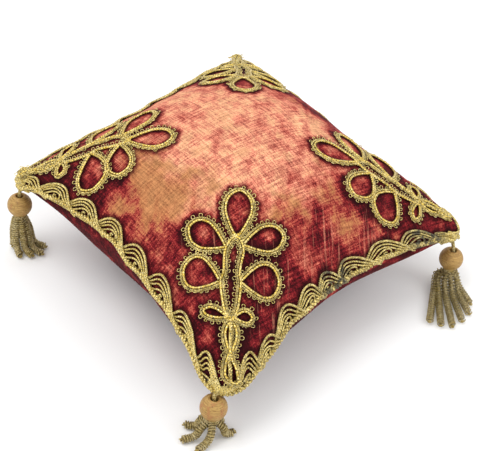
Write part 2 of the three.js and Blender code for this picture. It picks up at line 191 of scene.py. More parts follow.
# Soiled, browner patches: x, y, radius in millimetres, and how much.
SOILED = [
    (-104, 0, 40, 0.95), (-72, 34, 26, 0.6), (34, -100, 30, 0.7), (64, -120, 14, 0.9),
    (-20, -84, 22, 0.6), (-118, 63, 8, 0.3), (-60, -20, 26, 0.45), (92, -48, 14, 0.3), (110, 20, 22, 0.35),
]

# How much of the wear shows inside a motif's loops.
LOOP_RUB = {"front": 0.3, "right": 0.32, "left": 0.62, "back": 0.4}

# How much further apart a motif's loops lie above its knot, and how much wider they are laid.
STRETCH = {"front": 0.045, "right": 0.03, "left": 0.035, "back": -0.11}
LOOP_EASE = 3.0

# How far the seam's cloth and braid stand out past the even curve: share of the side, millimetres.
FILL_OUT = {
    "front_left": ((0, 7), (0.09, 13), (0.22, 8.5), (0.42, 6.5), (0.6, 0.5), (1, 2)),
    "front_right": ((0, 7), (0.1, 16), (0.19, 15.5), (0.3, 7), (0.5, 4), (0.8, 3), (1, 3)),
    "back_left": ((0, 2), (0.3, 3.5), (0.7, 3.5), (1, 1)),
    "back_right": ((0, 4), (0.08, 8), (0.25, 6), (0.4, 2), (0.6, 4), (0.85, 4), (1, 1)),
}

# How much higher than evenly over the seam the braid lies: share of the side, millimetres.
RAISED = {
    "front_left": ((0, 0), (0.1, 1), (0.3, 6), (0.85, 4.5), (1, 1)),
    "front_right": ((0, 0), (0.1, 1), (0.28, 6.5), (0.85, 5), (1, 1)),
    "back_left": ((0, 2), (0.2, 11), (0.8, 12), (1, 2)),
    "back_right": ((0, 0), (1, 0)),
}

# Where the unevenly sewn scallops of the front right side stand, as shares of the side. The
# third is the first whole scallop, and SEWN_WIDTH is a scallop's width in millimetres.
SEWN_FIRST = 2
SEWN_WIDTH = 31
SEWN_AT = (-0.08, 0.02, 0.108, 0.186, 0.269, 0.372, 0.439, 0.533, 0.679, 0.814, 0.93, 1.04, 1.15)

# Small differences of single loops, in millimetres: foot s and t, tip s and t.
LOOP_SHIFTS = {
    "front": {8: (3, 0, -5, 0.5)},
    "right": {1: (-3, 0, -5, 0), 3: (0, 0, 0, 4), 8: (4, 0, 5, 0)},
    "left": {1: (2, 0, 4, 5), 2: (0, 0, -9, 0), 4: (2, 0, 4, -8)},
}
MOTIF_LOOPS = {
    name: [
        (*(a + b for a, b in zip(loop, LOOP_SHIFTS.get(name, {}).get(number, (0, 0, 0, 0)))), loop[4])
        for number, loop in enumerate(LOOPS)
    ]
    for name in CORNERS
}

# How dull the twisted cord round each motif has become.
DULLED = {"front": 0.42, "right": 0.32, "left": 0.12, "back": 0.25}

# How far in front of the cloth a place on it is looked for, how far on, and how far it may be off.
SEARCH_FROM, SEARCH_RUN, SEARCH_OFF = 0.012, 0.022, 0.008

# Half a side of the seams in plan before they are drawn in, in millimetres.
SEAM_LINES = {"front_left": 138, "back_right": 142, "front_right": 141, "back_left": 138}


def lerp(a, b, share):
    return a + (b - a) * share


def clamp(x, low, high):
    return max(low, min(high, x))


def smoothstep(x, low, high):
    t = clamp((x - low) / (high - low), 0.0, 1.0)
    return t * t * (3 - 2 * t)


def seam_point(name, share, power):
    """The line between a side's corners, drawn in and lifted to the seam."""
    side = SIDES[name]
    a, b = (CORNERS[end][2] for end in side["ends"])
    bow = max(0.0, 4 * share * (1 - share))
    point = a.lerp(b, share) + INWARD[name] * (side["pull"] * bow)
    point.z += side["rise"] * bow**power
    return point


def sheet(u, v, power):
    """The sheet stretched between the four seams."""
    s, t = (u + 1) / 2, (v + 1) / 2
    point = (
        seam_point("front_left", t, power) * (1 - s)
        + seam_point("back_right", t, power) * s
        + seam_point("front_right", s, power) * (1 - t)
        + seam_point("back_left", s, power) * t
    )
    for cu, cv, place in CORNERS.values():
        point -= place * (((1 + cu * u) / 2) * ((1 + cv * v) / 2))
    return point


def blunted(u, v, power=RISE_POWER):
    """The sheet with its corners rounded off."""
    r = ROUND / HALF
    a, b = (abs(u) - 1 + r) / r, (abs(v) - 1 + r) / r
    if a <= 0 or b <= 0:
        return sheet(u, v, power)
    return sheet(
        math.copysign(1 - r + r * a * math.sqrt(1 - b * b / 2), u),
        math.copysign(1 - r + r * b * math.sqrt(1 - a * a / 2), v),
        power,
    )


def face(u, v):
    point = blunted(u, v)
    point.z += SEAM / 2 + CROWN * max(0.0, (1 - u * u) * (1 - v * v)) ** CROWN_POWER
    return point


def underside(u, v):
    """It runs in from the height of the nearest seam to the flat patch."""
    point = blunted(u, v)
    most = max(abs(u), abs(v), 1e-6)
    power = lerp(FOLD_POWER, RISE_POWER, most**6)
    rim = blunted(u / most, v / most, power).z - SEAM / 2
    spread = math.sqrt(max(0.0, 1 - (1 - u * u) * (1 - v * v)))
    left = clamp((1 - spread) / (1 - FLAT), 0, 2)
    cornering = (min(abs(u), abs(v)) / most) ** CORNER_SHARE
    free = rim * (1 - left ** lerp(BELLY_POWER, CORNER_POWER, cornering))
    if free >= PRESSED:
        point.z = free
    else:
        point.z = 0 if free < -PRESSED else (free + PRESSED) ** 2 / (4 * PRESSED)
    return point


def place_on(surface, u, v):
    """A point of a surface and its outward normal."""
    h = 0.004
    u0, v0 = clamp(u, -1 + h, 1 - h), clamp(v, -1 + h, 1 - h)
    along_u = surface(u0 + h, v0) - surface(u0 - h, v0)
    along_v = surface(u0, v0 + h) - surface(u0, v0 - h)
    normal = along_u.cross(along_v).normalized()
    return surface(u, v), normal if surface is face else -normal


def rim_place(name, share):
    """The u and v of a place on a side's seam."""
    along = 2 * share - 1
    return {
        "front_left": (-1, along),
        "back_right": (1, along),
        "front_right": (along, -1),
        "back_left": (along, 1),
    }[name]


def outward_at(edge):
    """The level direction out of the cushion at a place on its seam."""
    outward = blunted(*edge) - blunted(edge[0] * JUST_INSIDE, edge[1] * JUST_INSIDE)
    outward.z = 0
    return outward.normalized()


def place_on_rim(name, share, reach):
    """A place beside the seam: `reach` is along the cloth, up on the face, down below it."""
    edge = rim_place(name, share)
    surface = face if reach > 0 else underside
    wall = SEAM / 2
    left = abs(reach) - wall
    inset = 0.0
    if left > 0:
        last = surface(*edge)
        for k in range(1, RIM_STEPS):
            step = (k / RIM_STEPS) ** 2 * RIM_DEPTH
            point = surface(edge[0] * (1 - step), edge[1] * (1 - step))
            run = (point - last).length
            if run >= left:
                inset = lerp(inset, step, left / run)
                break
            left -= run
            inset, last = step, point
    point, normal = place_on(surface, edge[0] * (1 - inset), edge[1] * (1 - inset))
    if inset == 0:
        point = blunted(*edge)
        point.z += clamp(reach, -wall, wall)
    turn = smoothstep(abs(reach), 0, wall + 0.0025)
    return point, (normal * turn + outward_at(edge) * (1 - turn)).normalized()


def between(table, share):
    """The value of a table of shares and values at one share."""
    for (start, low), (end, high) in zip(table, table[1:]):
        if share <= end:
            return lerp(low, high, smoothstep(share, start, end))
    return table[-1][1]


def seam_tree():
    """The seams' points, with the way each is filled out near its corners."""
    places, moves = KDTree(len(SIDES) * (SEAM_STEPS + 1)), []
    for name in SIDES:
        droop = Vector((0, 0, FRONT_DROOP if "front" in name else 0.0))
        for i in range(SEAM_STEPS + 1):
            share = i / SEAM_STEPS
            edge = rim_place(name, share)
            places.insert(blunted(*edge), len(moves))
            moves.append((outward_at(edge) - droop) * (between(FILL_OUT[name], share) * MM))
    places.balance()
    return places, moves


SEAMS = seam_tree()


def filled_out(point):
    """A place on the cloth, moved out with the seam near it."""
    places, moves = SEAMS
    around = places.find_n(point, 6)
    total, weights = Vector((0, 0, 0)), 0.0
    for _, index, distance in around:
        weight = 1 / (distance + 1 * MM)
        total += moves[index] * weight
        weights += weight
    nearest = around[0][2]
    return point + total / weights * (1 - smoothstep(nearest, *FILL_FADE))


def reach_of(u, v):
    """How far along the cloth a place on the face is from the seam."""
    scale = 1 / max(abs(u), abs(v), 1e-6)
    length, last = SEAM / 2, face(u * scale, v * scale)
    for k in range(1, 13):
        shrink = lerp(scale, 1, (k / 12) ** 2)
        point = face(u * shrink, v * shrink)
        length += (point - last).length
        last = point
    return length


def place_on_motif(name, s, t):
    """A place on the face for a motif's s and t, lifted over the braid beside the seam."""
    cu, cv, _ = CORNERS[name]
    s += STRETCH[name] * max(0.0, s - KNOT[0])
    ds, dt = s - KNOT[0], t - KNOT[1]
    far = max(0.0, ds) * SWING[name]
    s1 = (s - far * dt / max(ds, 1) / 2) * MM
    t1 = (t + far + SHIFT[name] * smoothstep(s, *SHIFT_ALONG)) * MM
    ax, ay = -cu * math.sqrt(0.5), -cv * math.sqrt(0.5)
    u, v = cu + (s1 * ax - t1 * ay) / HALF, cv + (s1 * ay + t1 * ax) / HALF
    point, normal = place_on(face, u, v)
    lift = LIFT[0] * (1 - smoothstep(reach_of(u, v), LIFT[1], LIFT[2]))
    return point, normal, lift


def on_motif(name, x, y):
    """A motif's s and t at x and y, all in millimetres."""
    cu, cv, place = CORNERS[name]
    dx, dy = (place.x / MM - x) * cu, (place.y / MM - y) * cv
    return (dx + dy) * math.sqrt(0.5), (dy - dx) * math.sqrt(0.5) * cu * cv


def sideways(name, s):
    """How far a motif lies to one side of the diagonal at s."""
    return SHIFT[name] * smoothstep(s, *SHIFT_ALONG) + max(0.0, s - KNOT[0]) * SWING[name]


def evenly(points, step):
    """The same line with its points about `step` apart."""
    lengths = [0.0]
    for a, b in zip(points, points[1:]):
        lengths.append(lengths[-1] + (b - a).length)
    count = max(2, round(lengths[-1] / step))
    out, k = [], 0
    for i in range(count + 1):
        at = lengths[-1] * i / count
        while k < len(points) - 2 and lengths[k + 1] < at:
            k += 1
        run = max(lengths[k + 1] - lengths[k], 1e-9)
        out.append(points[k].lerp(points[k + 1], clamp((at - lengths[k]) / run, 0, 1)))
    return out


def smooth_line(knots, step):
    """A smooth line through the knots, with its points about `step` apart."""
    knots = [Vector(k) for k in knots]
    dense = []
    for i in range(len(knots) - 1):
        p1, p2 = knots[i], knots[i + 1]
        p0 = knots[i - 1] if i else p1 * 2 - p2
        p3 = knots[i + 2] if i + 2 < len(knots) else p2 * 2 - p1
        t1 = max((p1 - p0).length ** 0.5, 1e-6)
        t2 = t1 + max((p2 - p1).length ** 0.5, 1e-6)
        t3 = t2 + max((p3 - p2).length ** 0.5, 1e-6)
        for k in range(12):
            t = lerp(t1, t2, k / 12)
            a1 = p0 * ((t1 - t) / t1) + p1 * (t / t1)
            a2 = p1 * ((t2 - t) / (t2 - t1)) + p2 * ((t - t1) / (t2 - t1))
            a3 = p2 * ((t3 - t) / (t3 - t2)) + p3 * ((t - t2) / (t3 - t2))
            b1 = a1 * ((t2 - t) / t2) + a2 * (t / t2)
            b2 = a2 * ((t3 - t) / (t3 - t1)) + a3 * ((t - t1) / (t3 - t1))
            dense.append(b1 * ((t2 - t) / (t2 - t1)) + b2 * ((t - t1) / (t2 - t1)))
    dense.append(knots[-1])
    return evenly(dense, step)


def twisted(points, offset, pitch, turns_from, steps=8):
    """A strand that winds round a line, `offset` from its middle, once in every `pitch`."""
    line = evenly(points, pitch / steps)
    out = []
    tangent = (line[1] - line[0]).normalized()
    side = tangent.orthogonal().normalized()
    run = 0.0
    for i, point in enumerate(line):
        ahead = (line[min(i + 1, len(line) - 1)] - line[max(i - 1, 0)]).normalized()
        side = tangent.rotation_difference(ahead) @ side
        tangent = ahead
        if i:
            run += (point - line[i - 1]).length
        turn = turns_from + 2 * math.pi * run / pitch
        out.append(point + Quaternion(tangent, turn) @ side * offset)
    return out


def tubes(name, lines, roundness):
    """One mesh of round cords. A line is its points, radius, tone, tarnish and whether it closes."""
    curve = bpy.data.curves.new(name, "CURVE")
    curve.dimensions = "3D"
    curve.bevel_depth = 1.0
    curve.bevel_resolution = roundness
    along, tone, dull = [], [], []
    for points, radius, line_tone, tarnish, closes in lines:
        spline = curve.splines.new("POLY")
        spline.points.add(len(points) - 1)
        spline.points.foreach_set("co", [x for p in points for x in (*p, 1.0)])
        radii = radius if isinstance(radius, list) else [radius] * len(points)
        spline.points.foreach_set("radius", radii)
        spline.use_cyclic_u = closes
        run = 0.0
        for i, point in enumerate(points):
            run += (point - points[i - 1]).length if i else 0.0
            along.append(run)
            tone.append(line_tone)
            dull.append(tarnish[i] if isinstance(tarnish, list) else tarnish)
    soft = bpy.data.objects.new(name, curve)
    bpy.context.scene.collection.objects.link(soft)
    depsgraph = bpy.context.evaluated_depsgraph_get()
    mesh = bpy.data.meshes.new_from_object(soft.evaluated_get(depsgraph))
    bpy.data.objects.remove(soft)
    bpy.data.curves.remove(curve)
    mesh.materials.clear()
    mesh.name = name
    around = len(mesh.vertices) // len(along)
    for key, values in (("along", along), ("tone", tone), ("tarnish", dull)):
        layer = mesh.attributes.new(key, "FLOAT", "POINT")
        layer.data.foreach_set("value", np.repeat(np.array(values, np.float32), around))
    made = bmesh.new()
    made.from_mesh(mesh)
    bmesh.ops.holes_fill(made, edges=[e for e in made.edges if e.is_boundary], sides=0)
    made.to_mesh(mesh)
    made.free()
    return mesh


def piece(name, mesh, material, slot, *replaced):
    """Puts a finished mesh in the scene, on the one body, in place of its CAD nodes."""
    made = bpy.data.objects.new(name, mesh)
    bpy.context.scene.collection.objects.link(made)
    mesh.materials.clear()
    mesh.materials.append(material)
    mesh.shade_smooth()
    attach(made, "root")
    if replaced:
        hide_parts(*replaced)
    return made


def cloth_tree():
    """The finished cushion, for laying trims on it."""
    cushion = bpy.data.objects["stuffed_cushion"]
    made = bmesh.new()
    made.from_mesh(cushion.data)
    tree = BVHTree.FromBMesh(made)
    made.free()
    return tree


def laid(tree, point, normal):
    """The place on the cloth straight under or over a point."""
    hit, _, _, distance = tree.ray_cast(point + normal * SEARCH_FROM, -normal, SEARCH_RUN)
    return hit if hit is not None and abs(distance - SEARCH_FROM) < SEARCH_OFF else point


def node(tree, kind, place, **values):
    made = tree.nodes.new(kind)
    made.location = place
    for key, value in values.items():
        setattr(made, key, value)
    return made


def new_material(name):
    material = bpy.data.materials.new(name)
    material.use_nodes = True
    tree = material.node_tree
    tree.nodes.clear()
    output = node(tree, "ShaderNodeOutputMaterial", (900, 0))
    shader = node(tree, "ShaderNodeBsdfPrincipled", (600, 0))
    tree.links.new(shader.outputs[0], output.inputs[0])
    return material, tree, shader


def new_group(name, inputs, outputs):
    group = bpy.data.node_groups.new(name, "ShaderNodeTree")
    for label, kind, value in inputs:
        socket = group.interface.new_socket(label, in_out="INPUT", socket_type=kind)
        if value is not None:
            socket.default_value = value
    for label, kind in outputs:
        group.interface.new_socket(label, in_out="OUTPUT", socket_type=kind)
    return group, node(group, "NodeGroupInput", (-900, 0)), node(group, "NodeGroupOutput", (900, 0))


def maths(tree, operation, a, b=None, c=None, clamped=False, place=(0, 0)):
    made = node(tree, "ShaderNodeMath", place, operation=operation, use_clamp=clamped)
    for i, value in enumerate((a, b, c)):
        if value is None:
            continue
        if isinstance(value, (int, float)):
            made.inputs[i].default_value = value
        else:
            tree.links.new(value, made.inputs[i])
    return made.outputs[0]


def mixed(tree, factor, a, b, blend="MIX", place=(0, 0)):
    made = node(tree, "ShaderNodeMix", place, data_type="RGBA", blend_type=blend)
    for socket, value in ((made.inputs[0], factor), (made.inputs[6], a), (made.inputs[7], b)):
        if isinstance(value, (int, float)):
            socket.default_value = value
        elif isinstance(value, (tuple, list)) or hasattr(value, "__len__"):
            socket.default_value = (*value[:3], 1.0)
        else:
            tree.links.new(value, socket)
    return made.outputs[2]


def ranged(tree, value, low, high, place=(0, 0)):
    made = node(tree, "ShaderNodeMapRange", place, interpolation_type="SMOOTHSTEP")
    tree.links.new(value, made.inputs[0])
    made.inputs[1].default_value = low
    made.inputs[2].default_value = high
    return made.outputs[0]


def grain_group():
    """Noise drawn out along one direction of the object, for threads, scratches and streaks."""
    found = bpy.data.node_groups.get("drawn_out_grain")
    if found:
        return found
    group, entry, leave = new_group(
        "drawn_out_grain",
        [
            ("Turn", "NodeSocketVector", (0, 0, 0)),
            ("Scale", "NodeSocketVector", (100, 1000, 1000)),
            ("Detail", "NodeSocketFloat", 2.0),
        ],
        [("Grain", "NodeSocketFloat")],
    )
    where = node(group, "ShaderNodeTexCoord", (-700, 200))
    turned = node(group, "ShaderNodeMapping", (-400, 100))
    spread = node(group, "ShaderNodeVectorMath", (-150, 100), operation="MULTIPLY")
    speckle = node(group, "ShaderNodeTexNoise", (150, 100))
    speckle.inputs["Scale"].default_value = 1.0
    group.links.new(where.outputs["Object"], turned.inputs[0])
    group.links.new(entry.outputs["Turn"], turned.inputs["Rotation"])
    group.links.new(turned.outputs[0], spread.inputs[0])
    group.links.new(entry.outputs["Scale"], spread.inputs[1])
    group.links.new(spread.outputs[0], speckle.inputs["Vector"])
    group.links.new(entry.outputs["Detail"], speckle.inputs["Detail"])
    group.links.new(speckle.outputs[0], leave.inputs["Grain"])
    return group


def grain(tree, turn, scale, detail=2.0, place=(0, 0)):
    made = node(tree, "ShaderNodeGroup", place, node_tree=grain_group())
    made.inputs["Turn"].default_value = turn
    made.inputs["Scale"].default_value = scale
    made.inputs["Detail"].default_value = detail
    return made.outputs[0]


def attribute(tree, name, place=(0, 0)):
    return node(tree, "ShaderNodeAttribute", place, attribute_name=name).outputs["Fac"]


def velvet_material(colours):
    """Crimson pile, nearly black where unworn, rubbed down to salmon and tan ground threads, with painted
    shade near black beside the trims and between a motif's stems.
    """
    material, tree, shader = new_material("worn_velvet")
    rub = attribute(tree, "rub", (-1400, 300))
    deep = attribute(tree, "deep", (-1400, 0))
    brushed = attribute(tree, "brushed", (-1400, 150))
    soiled = attribute(tree, "soiled", (-1400, 220))
    quarter = math.pi / 4
    cloud = grain(tree, (0.3, 0.2, 0.1), (17, 17, 17), 3.0, (-1400, 500))
    mottle = grain(tree, (0, 0, 0), (70, 70, 70), 6.0, (-1400, 700))
    streak = grain(tree, (0, 0, -quarter), (34, 150, 34), 4.0, (-1400, 900))
    scratch = grain(tree, (0, 0, -quarter - 0.12), (16, 620, 18), 3.0, (-1400, 1100))
    warp = grain(tree, (0, 0, 0.06), (60, 760, 200), 4.0, (-1400, -300))
    weft = grain(tree, (0, 0, 0.1), (800, 70, 200), 4.0, (-1400, -500))
    pile = grain(tree, (0, 0, 0), (1100, 1100, 1100), 3.0, (-1400, -700))
    worn = rub
    sizes = ((cloud, 1.0), (mottle, 1.15), (streak, 0.7), (warp, 0.55), (weft, 0.4), (pile, 0.75))
    for noisy, size in sizes:
        worn = maths(tree, "ADD", worn, maths(tree, "MULTIPLY_ADD", noisy, size, -size / 2))
    ramp = node(tree, "ShaderNodeValToRGB", (-350, 400))
    tree.links.new(worn, ramp.inputs[0])
    thinned = tuple(lerp(a, b, 0.45) for a, b in zip(colours.rubbed, colours.ground))
    stops = [
        (0.0, colours.deep_pile), (0.26, colours.pile), (0.44, colours.rubbed),
        (0.62, thinned), (0.80, colours.ground), (1.0, colours.peach),
    ]
    while len(ramp.color_ramp.elements) < len(stops):
        ramp.color_ramp.elements.new(0.5)
    for element, (place, colour) in zip(ramp.color_ramp.elements, stops):
        element.position = place
        element.color = (*colour, 1.0)
    soil = maths(tree, "ADD", soiled, maths(tree, "MULTIPLY_ADD", mottle, 1.6, -0.8))
    tan = maths(tree, "MULTIPLY", ranged(tree, soil, 0.1, 0.9), ranged(tree, worn, 0.4, 0.7))
    colour = mixed(tree, maths(tree, "MULTIPLY", tan, 0.8), ramp.outputs[0], colours.tan, place=(-100, 400))
    line = maths(tree, "MULTIPLY", ranged(tree, scratch, 0.6, 0.68), brushed)
    colour = mixed(tree, maths(tree, "MULTIPLY", line, 0.5), colour, colours.ground, place=(0, 500))
    shade = maths(tree, "MULTIPLY_ADD", maths(tree, "ADD", maths(tree, "ADD", warp, weft), pile), 1.3, -0.97)
    colour = mixed(tree, 1.0, colour, shade, "MULTIPLY", place=(100, 500))
    # Painted shade: the velvet goes near black beside the trims and between a motif's stems.
    dark = mixed(tree, maths(tree, "MULTIPLY", deep, 0.95), colour, colours.shadow, place=(200, 400))
    tree.links.new(dark, shader.inputs["Base Color"])
    shader.inputs["Roughness"].default_value = 0.85
    shader.inputs["Sheen Weight"].default_value = 0.06
    shader.inputs["Sheen Roughness"].default_value = 0.35
    shader.inputs["Sheen Tint"].default_value = (0.9, 0.2, 0.18, 1.0)
    shader.inputs["Specular IOR Level"].default_value = 0.08
    height = maths(tree, "ADD", maths(tree, "MULTIPLY", warp, 0.6), maths(tree, "MULTIPLY", weft, 0.4))
    height = maths(tree, "ADD", height, maths(tree, "MULTIPLY", pile, 0.6))
    height = maths(tree, "ADD", height, maths(tree, "MULTIPLY", mottle, 1.0))
    bump = node(tree, "ShaderNodeBump", (300, -300))
    bump.inputs["Strength"].default_value = 0.4
    bump.inputs["Distance"].default_value = 0.0012
    tree.links.new(height, bump.inputs["Height"])
    tree.links.new(bump.outputs[0], shader.inputs["Normal"])
    return material


def wrapped_group():
    """Fine metal thread wound round a core: bright turns, grooves darkened with painted shade and specks of
    dirt, painted glints, tarnish in patches.
    """
    found = bpy.data.node_groups.get("wound_thread")
    if found:
        return found
    group, entry, leave = new_group(
        "wound_thread",
        [
            ("Pale", "NodeSocketColor", (0.8, 0.6, 0.3, 1)),
            ("Rich", "NodeSocketColor", (0.7, 0.45, 0.1, 1)),
            ("Groove", "NodeSocketColor", (0.05, 0.03, 0.01, 1)),
            ("Turns per metre", "NodeSocketFloat", 900.0),
            ("Depth", "NodeSocketFloat", 0.5),
            ("Dirt", "NodeSocketFloat", 0.6),
        ],
        [("Colour", "NodeSocketColor"), ("Height", "NodeSocketFloat"), ("Tarnish", "NodeSocketFloat")],
    )
    along = attribute(group, "along", (-900, -200))
    tone = attribute(group, "tone", (-900, 300))
    tarnish = attribute(group, "tarnish", (-900, -400))
    turn = maths(group, "MULTIPLY", along, entry.outputs["Turns per metre"])
    sine = maths(group, "SINE", maths(group, "MULTIPLY", turn, 2 * math.pi))
    wave = maths(group, "MULTIPLY_ADD", sine, 0.5, 0.5)
    mottle = grain(group, (0, 0, 0), (200, 200, 200), 3.0, (-900, 600))
    speck = grain(group, (0, 0, 0), (800, 800, 800), 2.0, (-900, 800))
    glint = grain(group, (0.7, 0.3, 0.2), (950, 950, 950), 2.0, (-900, 1000))
    blend = maths(group, "ADD", tone, maths(group, "MULTIPLY_ADD", mottle, 2.0, -1.0), clamped=True)
    gold = mixed(group, blend, entry.outputs["Pale"], entry.outputs["Rich"])
    # Painted shade in the grooves between the wound turns; the specks added to it are dirt.
    groove = maths(group, "MULTIPLY", maths(group, "SUBTRACT", 1.0, wave), entry.outputs["Depth"])
    worn = ranged(group, speck, 0.49, 0.6)
    groove = maths(group, "ADD", groove, maths(group, "MULTIPLY", worn, entry.outputs["Dirt"]), clamped=True)
    colour = mixed(group, groove, gold, entry.outputs["Groove"])
    bright = maths(group, "MULTIPLY", ranged(group, glint, 0.54, 0.64), 0.6)
    colour = mixed(group, bright, colour, (1.0, 0.88, 0.50))
    dull = maths(group, "MULTIPLY", tarnish, ranged(group, mottle, 0.3, 0.6), clamped=True)
    colour = mixed(group, dull, colour, (0.035, 0.04, 0.045))
    group.links.new(colour, leave.inputs["Colour"])
    group.links.new(maths(group, "ADD", wave, maths(group, "MULTIPLY", speck, 0.5)), leave.inputs["Height"])
    group.links.new(dull, leave.inputs["Tarnish"])
    return group


def thread_material(name, pale, rich, groove, turns, depth, dirt, metallic, roughness, distance):
    material, tree, shader = new_material(name)
    wound = node(tree, "ShaderNodeGroup", (-300, 0), node_tree=wrapped_group())
    wound.inputs["Pale"].default_value = (*pale, 1)
    wound.inputs["Rich"].default_value = (*rich, 1)
    wound.inputs["Groove"].default_value = (*groove, 1)
    wound.inputs["Turns per metre"].default_value = turns
    wound.inputs["Depth"].default_value = depth
    wound.inputs["Dirt"].default_value = dirt
    tree.links.new(wound.outputs["Colour"], shader.inputs["Base Color"])
    shader.inputs["Metallic"].default_value = metallic
    rough = maths(tree, "MULTIPLY_ADD", wound.outputs["Tarnish"], 0.3, roughness)
    tree.links.new(rough, shader.inputs["Roughness"])
    bump = node(tree, "ShaderNodeBump", (200, -300))
    bump.inputs["Strength"].default_value = 0.7
    bump.inputs["Distance"].default_value = distance
    tree.links.new(wound.outputs["Height"], bump.inputs["Height"])
    tree.links.new(bump.outputs[0], shader.inputs["Normal"])
    return material


def bead_material(colours):
    """Gilded turned wood: ochre, rubbed to orange clay, with dark grain and pits."""
    material, tree, shader = new_material("gilded_wood")
    mottle = grain(tree, (0, 0, 0), (190, 190, 120), 5.0, (-900, 300))
    rings = grain(tree, (0, 0, 0), (200, 200, 2200), 2.0, (-900, 0))
    speck = grain(tree, (0, 0, 0), (900, 900, 900), 4.0, (-900, -300))
    gilt = mixed(tree, ranged(tree, rings, 0.35, 0.7), colours.gilt, colours.gilt_dark)
    clay = mixed(tree, ranged(tree, mottle, 0.54, 0.66), gilt, colours.clay)
    pits = maths(tree, "MULTIPLY", ranged(tree, speck, 0.55, 0.75), 0.6)
    dark = mixed(tree, pits, clay, (0.06, 0.035, 0.015))
    tree.links.new(dark, shader.inputs["Base Color"])
    shader.inputs["Metallic"].default_value = 0.25
    shader.inputs["Roughness"].default_value = 0.5
    bump = node(tree, "ShaderNodeBump", (200, -300))
    bump.inputs["Strength"].default_value = 0.5
    bump.inputs["Distance"].default_value = 0.0005
    tree.links.new(maths(tree, "ADD", rings, speck), bump.inputs["Height"])
    tree.links.new(bump.outputs[0], shader.inputs["Normal"])
    return material


def floor_material():
    material, tree, shader = new_material("pale_floor")
    haze = grain(tree, (0, 0, 0), (3, 3, 3), 2.0, (-600, 0))
    colour = mixed(tree, haze, (0.90, 0.90, 0.90), (0.93, 0.93, 0.93))
    tree.links.new(colour, shader.inputs["Base Color"])
    shader.inputs["Roughness"].default_value = 0.9
    shader.inputs["Specular IOR Level"].default_value = 0.1
    return material


def colour_setting(name, description, default):
    return FloatVectorProperty(name=name, description=description, default=default, subtype="COLOR", size=3)


def length_setting(name, description, default):
    return FloatProperty(name=name, description=description, default=default, unit="LENGTH")


def angle_setting(name, description, degrees):
    return FloatProperty(name=name, description=description, default=math.radians(degrees), subtype="ANGLE")


class CushionStageSettings(bpy.types.PropertyGroup):
    """Floor, lights and camera."""

    turn: angle_setting("Turn", "Where the camera stands, round the cushion", -48.511)
    height: angle_setting("Height", "How far the camera looks down", 37.823)
    roll: angle_setting("Roll", "How far the camera is tipped sideways", 6.84)
    distance: length_setting("Distance", "From the camera to the cushion's middle", 1.073)
    lens: FloatProperty(name="Lens", description="Focal length in millimetres", default=90.06)
    key: FloatProperty(name="Main light", description="Power of the large soft light in watts", default=7.2)
    fill: FloatProperty(name="Sky", description="Strength of the even light all round", default=1.06)


class CushionClothSettings(bpy.types.PropertyGroup):
    """The stuffed velvet body."""

    voxel: length_setting("Mesh size", "Size of the cloth's facets before smoothing", 0.0045)
    shrink: length_setting("Shrink", "How much smaller the cushion starts than its solid", 0.0025)
    cap: length_setting("Swell limit", "The furthest that stuffing moves the cloth", 0.0045)
    pressure: FloatProperty(name="Stuffing", description="Pressure of the stuffing", default=4.0)
    deep_pile: colour_setting("Deep pile", "Unworn velvet", (0.042, 0.0032, 0.0052))
    pile: colour_setting("Pile", "Velvet that catches the light", (0.17, 0.010, 0.014))
    rubbed: colour_setting("Rubbed pile", "Thinned velvet", (0.33, 0.048, 0.036))
    ground: colour_setting("Ground", "Bare ground threads", (0.63, 0.222, 0.142))
    peach: colour_setting("Peach", "Bleached ground threads", (0.70, 0.345, 0.19))
    tan: colour_setting("Tan", "Soiled ground threads", (0.35, 0.14, 0.045))
    # Painted shade: near black mixed into the velvet beside the trims and between a motif's stems.
    shadow: colour_setting("Beside cords", "Velvet kept dark under the trims", (0.013, 0.0015, 0.0022))


class CushionTrimSettings(bpy.types.PropertyGroup):
    """Braid, motifs, beads and tassels."""

    rope: length_setting("Rope", "Radius of the rope along each scallop", 1.05 * MM)
    strand: length_setting("Braid cord", "Radius of the braid's smooth cords", 0.8 * MM)
    cord: length_setting("Motif cord", "Radius of the motifs' smooth cord", 1.0 * MM)
    wire: length_setting("Wire", "Radius of the fine edging wire", 0.28 * MM)
    picot: length_setting("Wire loops", "Spacing of the wire loops", 4.3 * MM)
    pale: colour_setting("Pale gilt", "Washed-out gilt thread", (0.95, 0.76, 0.27))
    rich: colour_setting("Rich gilt", "Yellow gilt thread", (0.80, 0.55, 0.07))
    # Colour of the dirt specks and of the painted shade in the grooves between the threads.
    groove: colour_setting("Grooves", "Dirt between the threads", (0.022, 0.010, 0.004))
    silver: colour_setting("Silver gilt", "The tassels' dull coils", (0.54, 0.43, 0.21))
    gilt: colour_setting("Gilt", "Gilding of the beads", (0.50, 0.31, 0.095))
    gilt_dark: colour_setting("Dark gilt", "Gilding in the grain", (0.30, 0.16, 0.04))
    clay: colour_setting("Clay", "Clay where the gilding is rubbed off", (0.40, 0.19, 0.06))


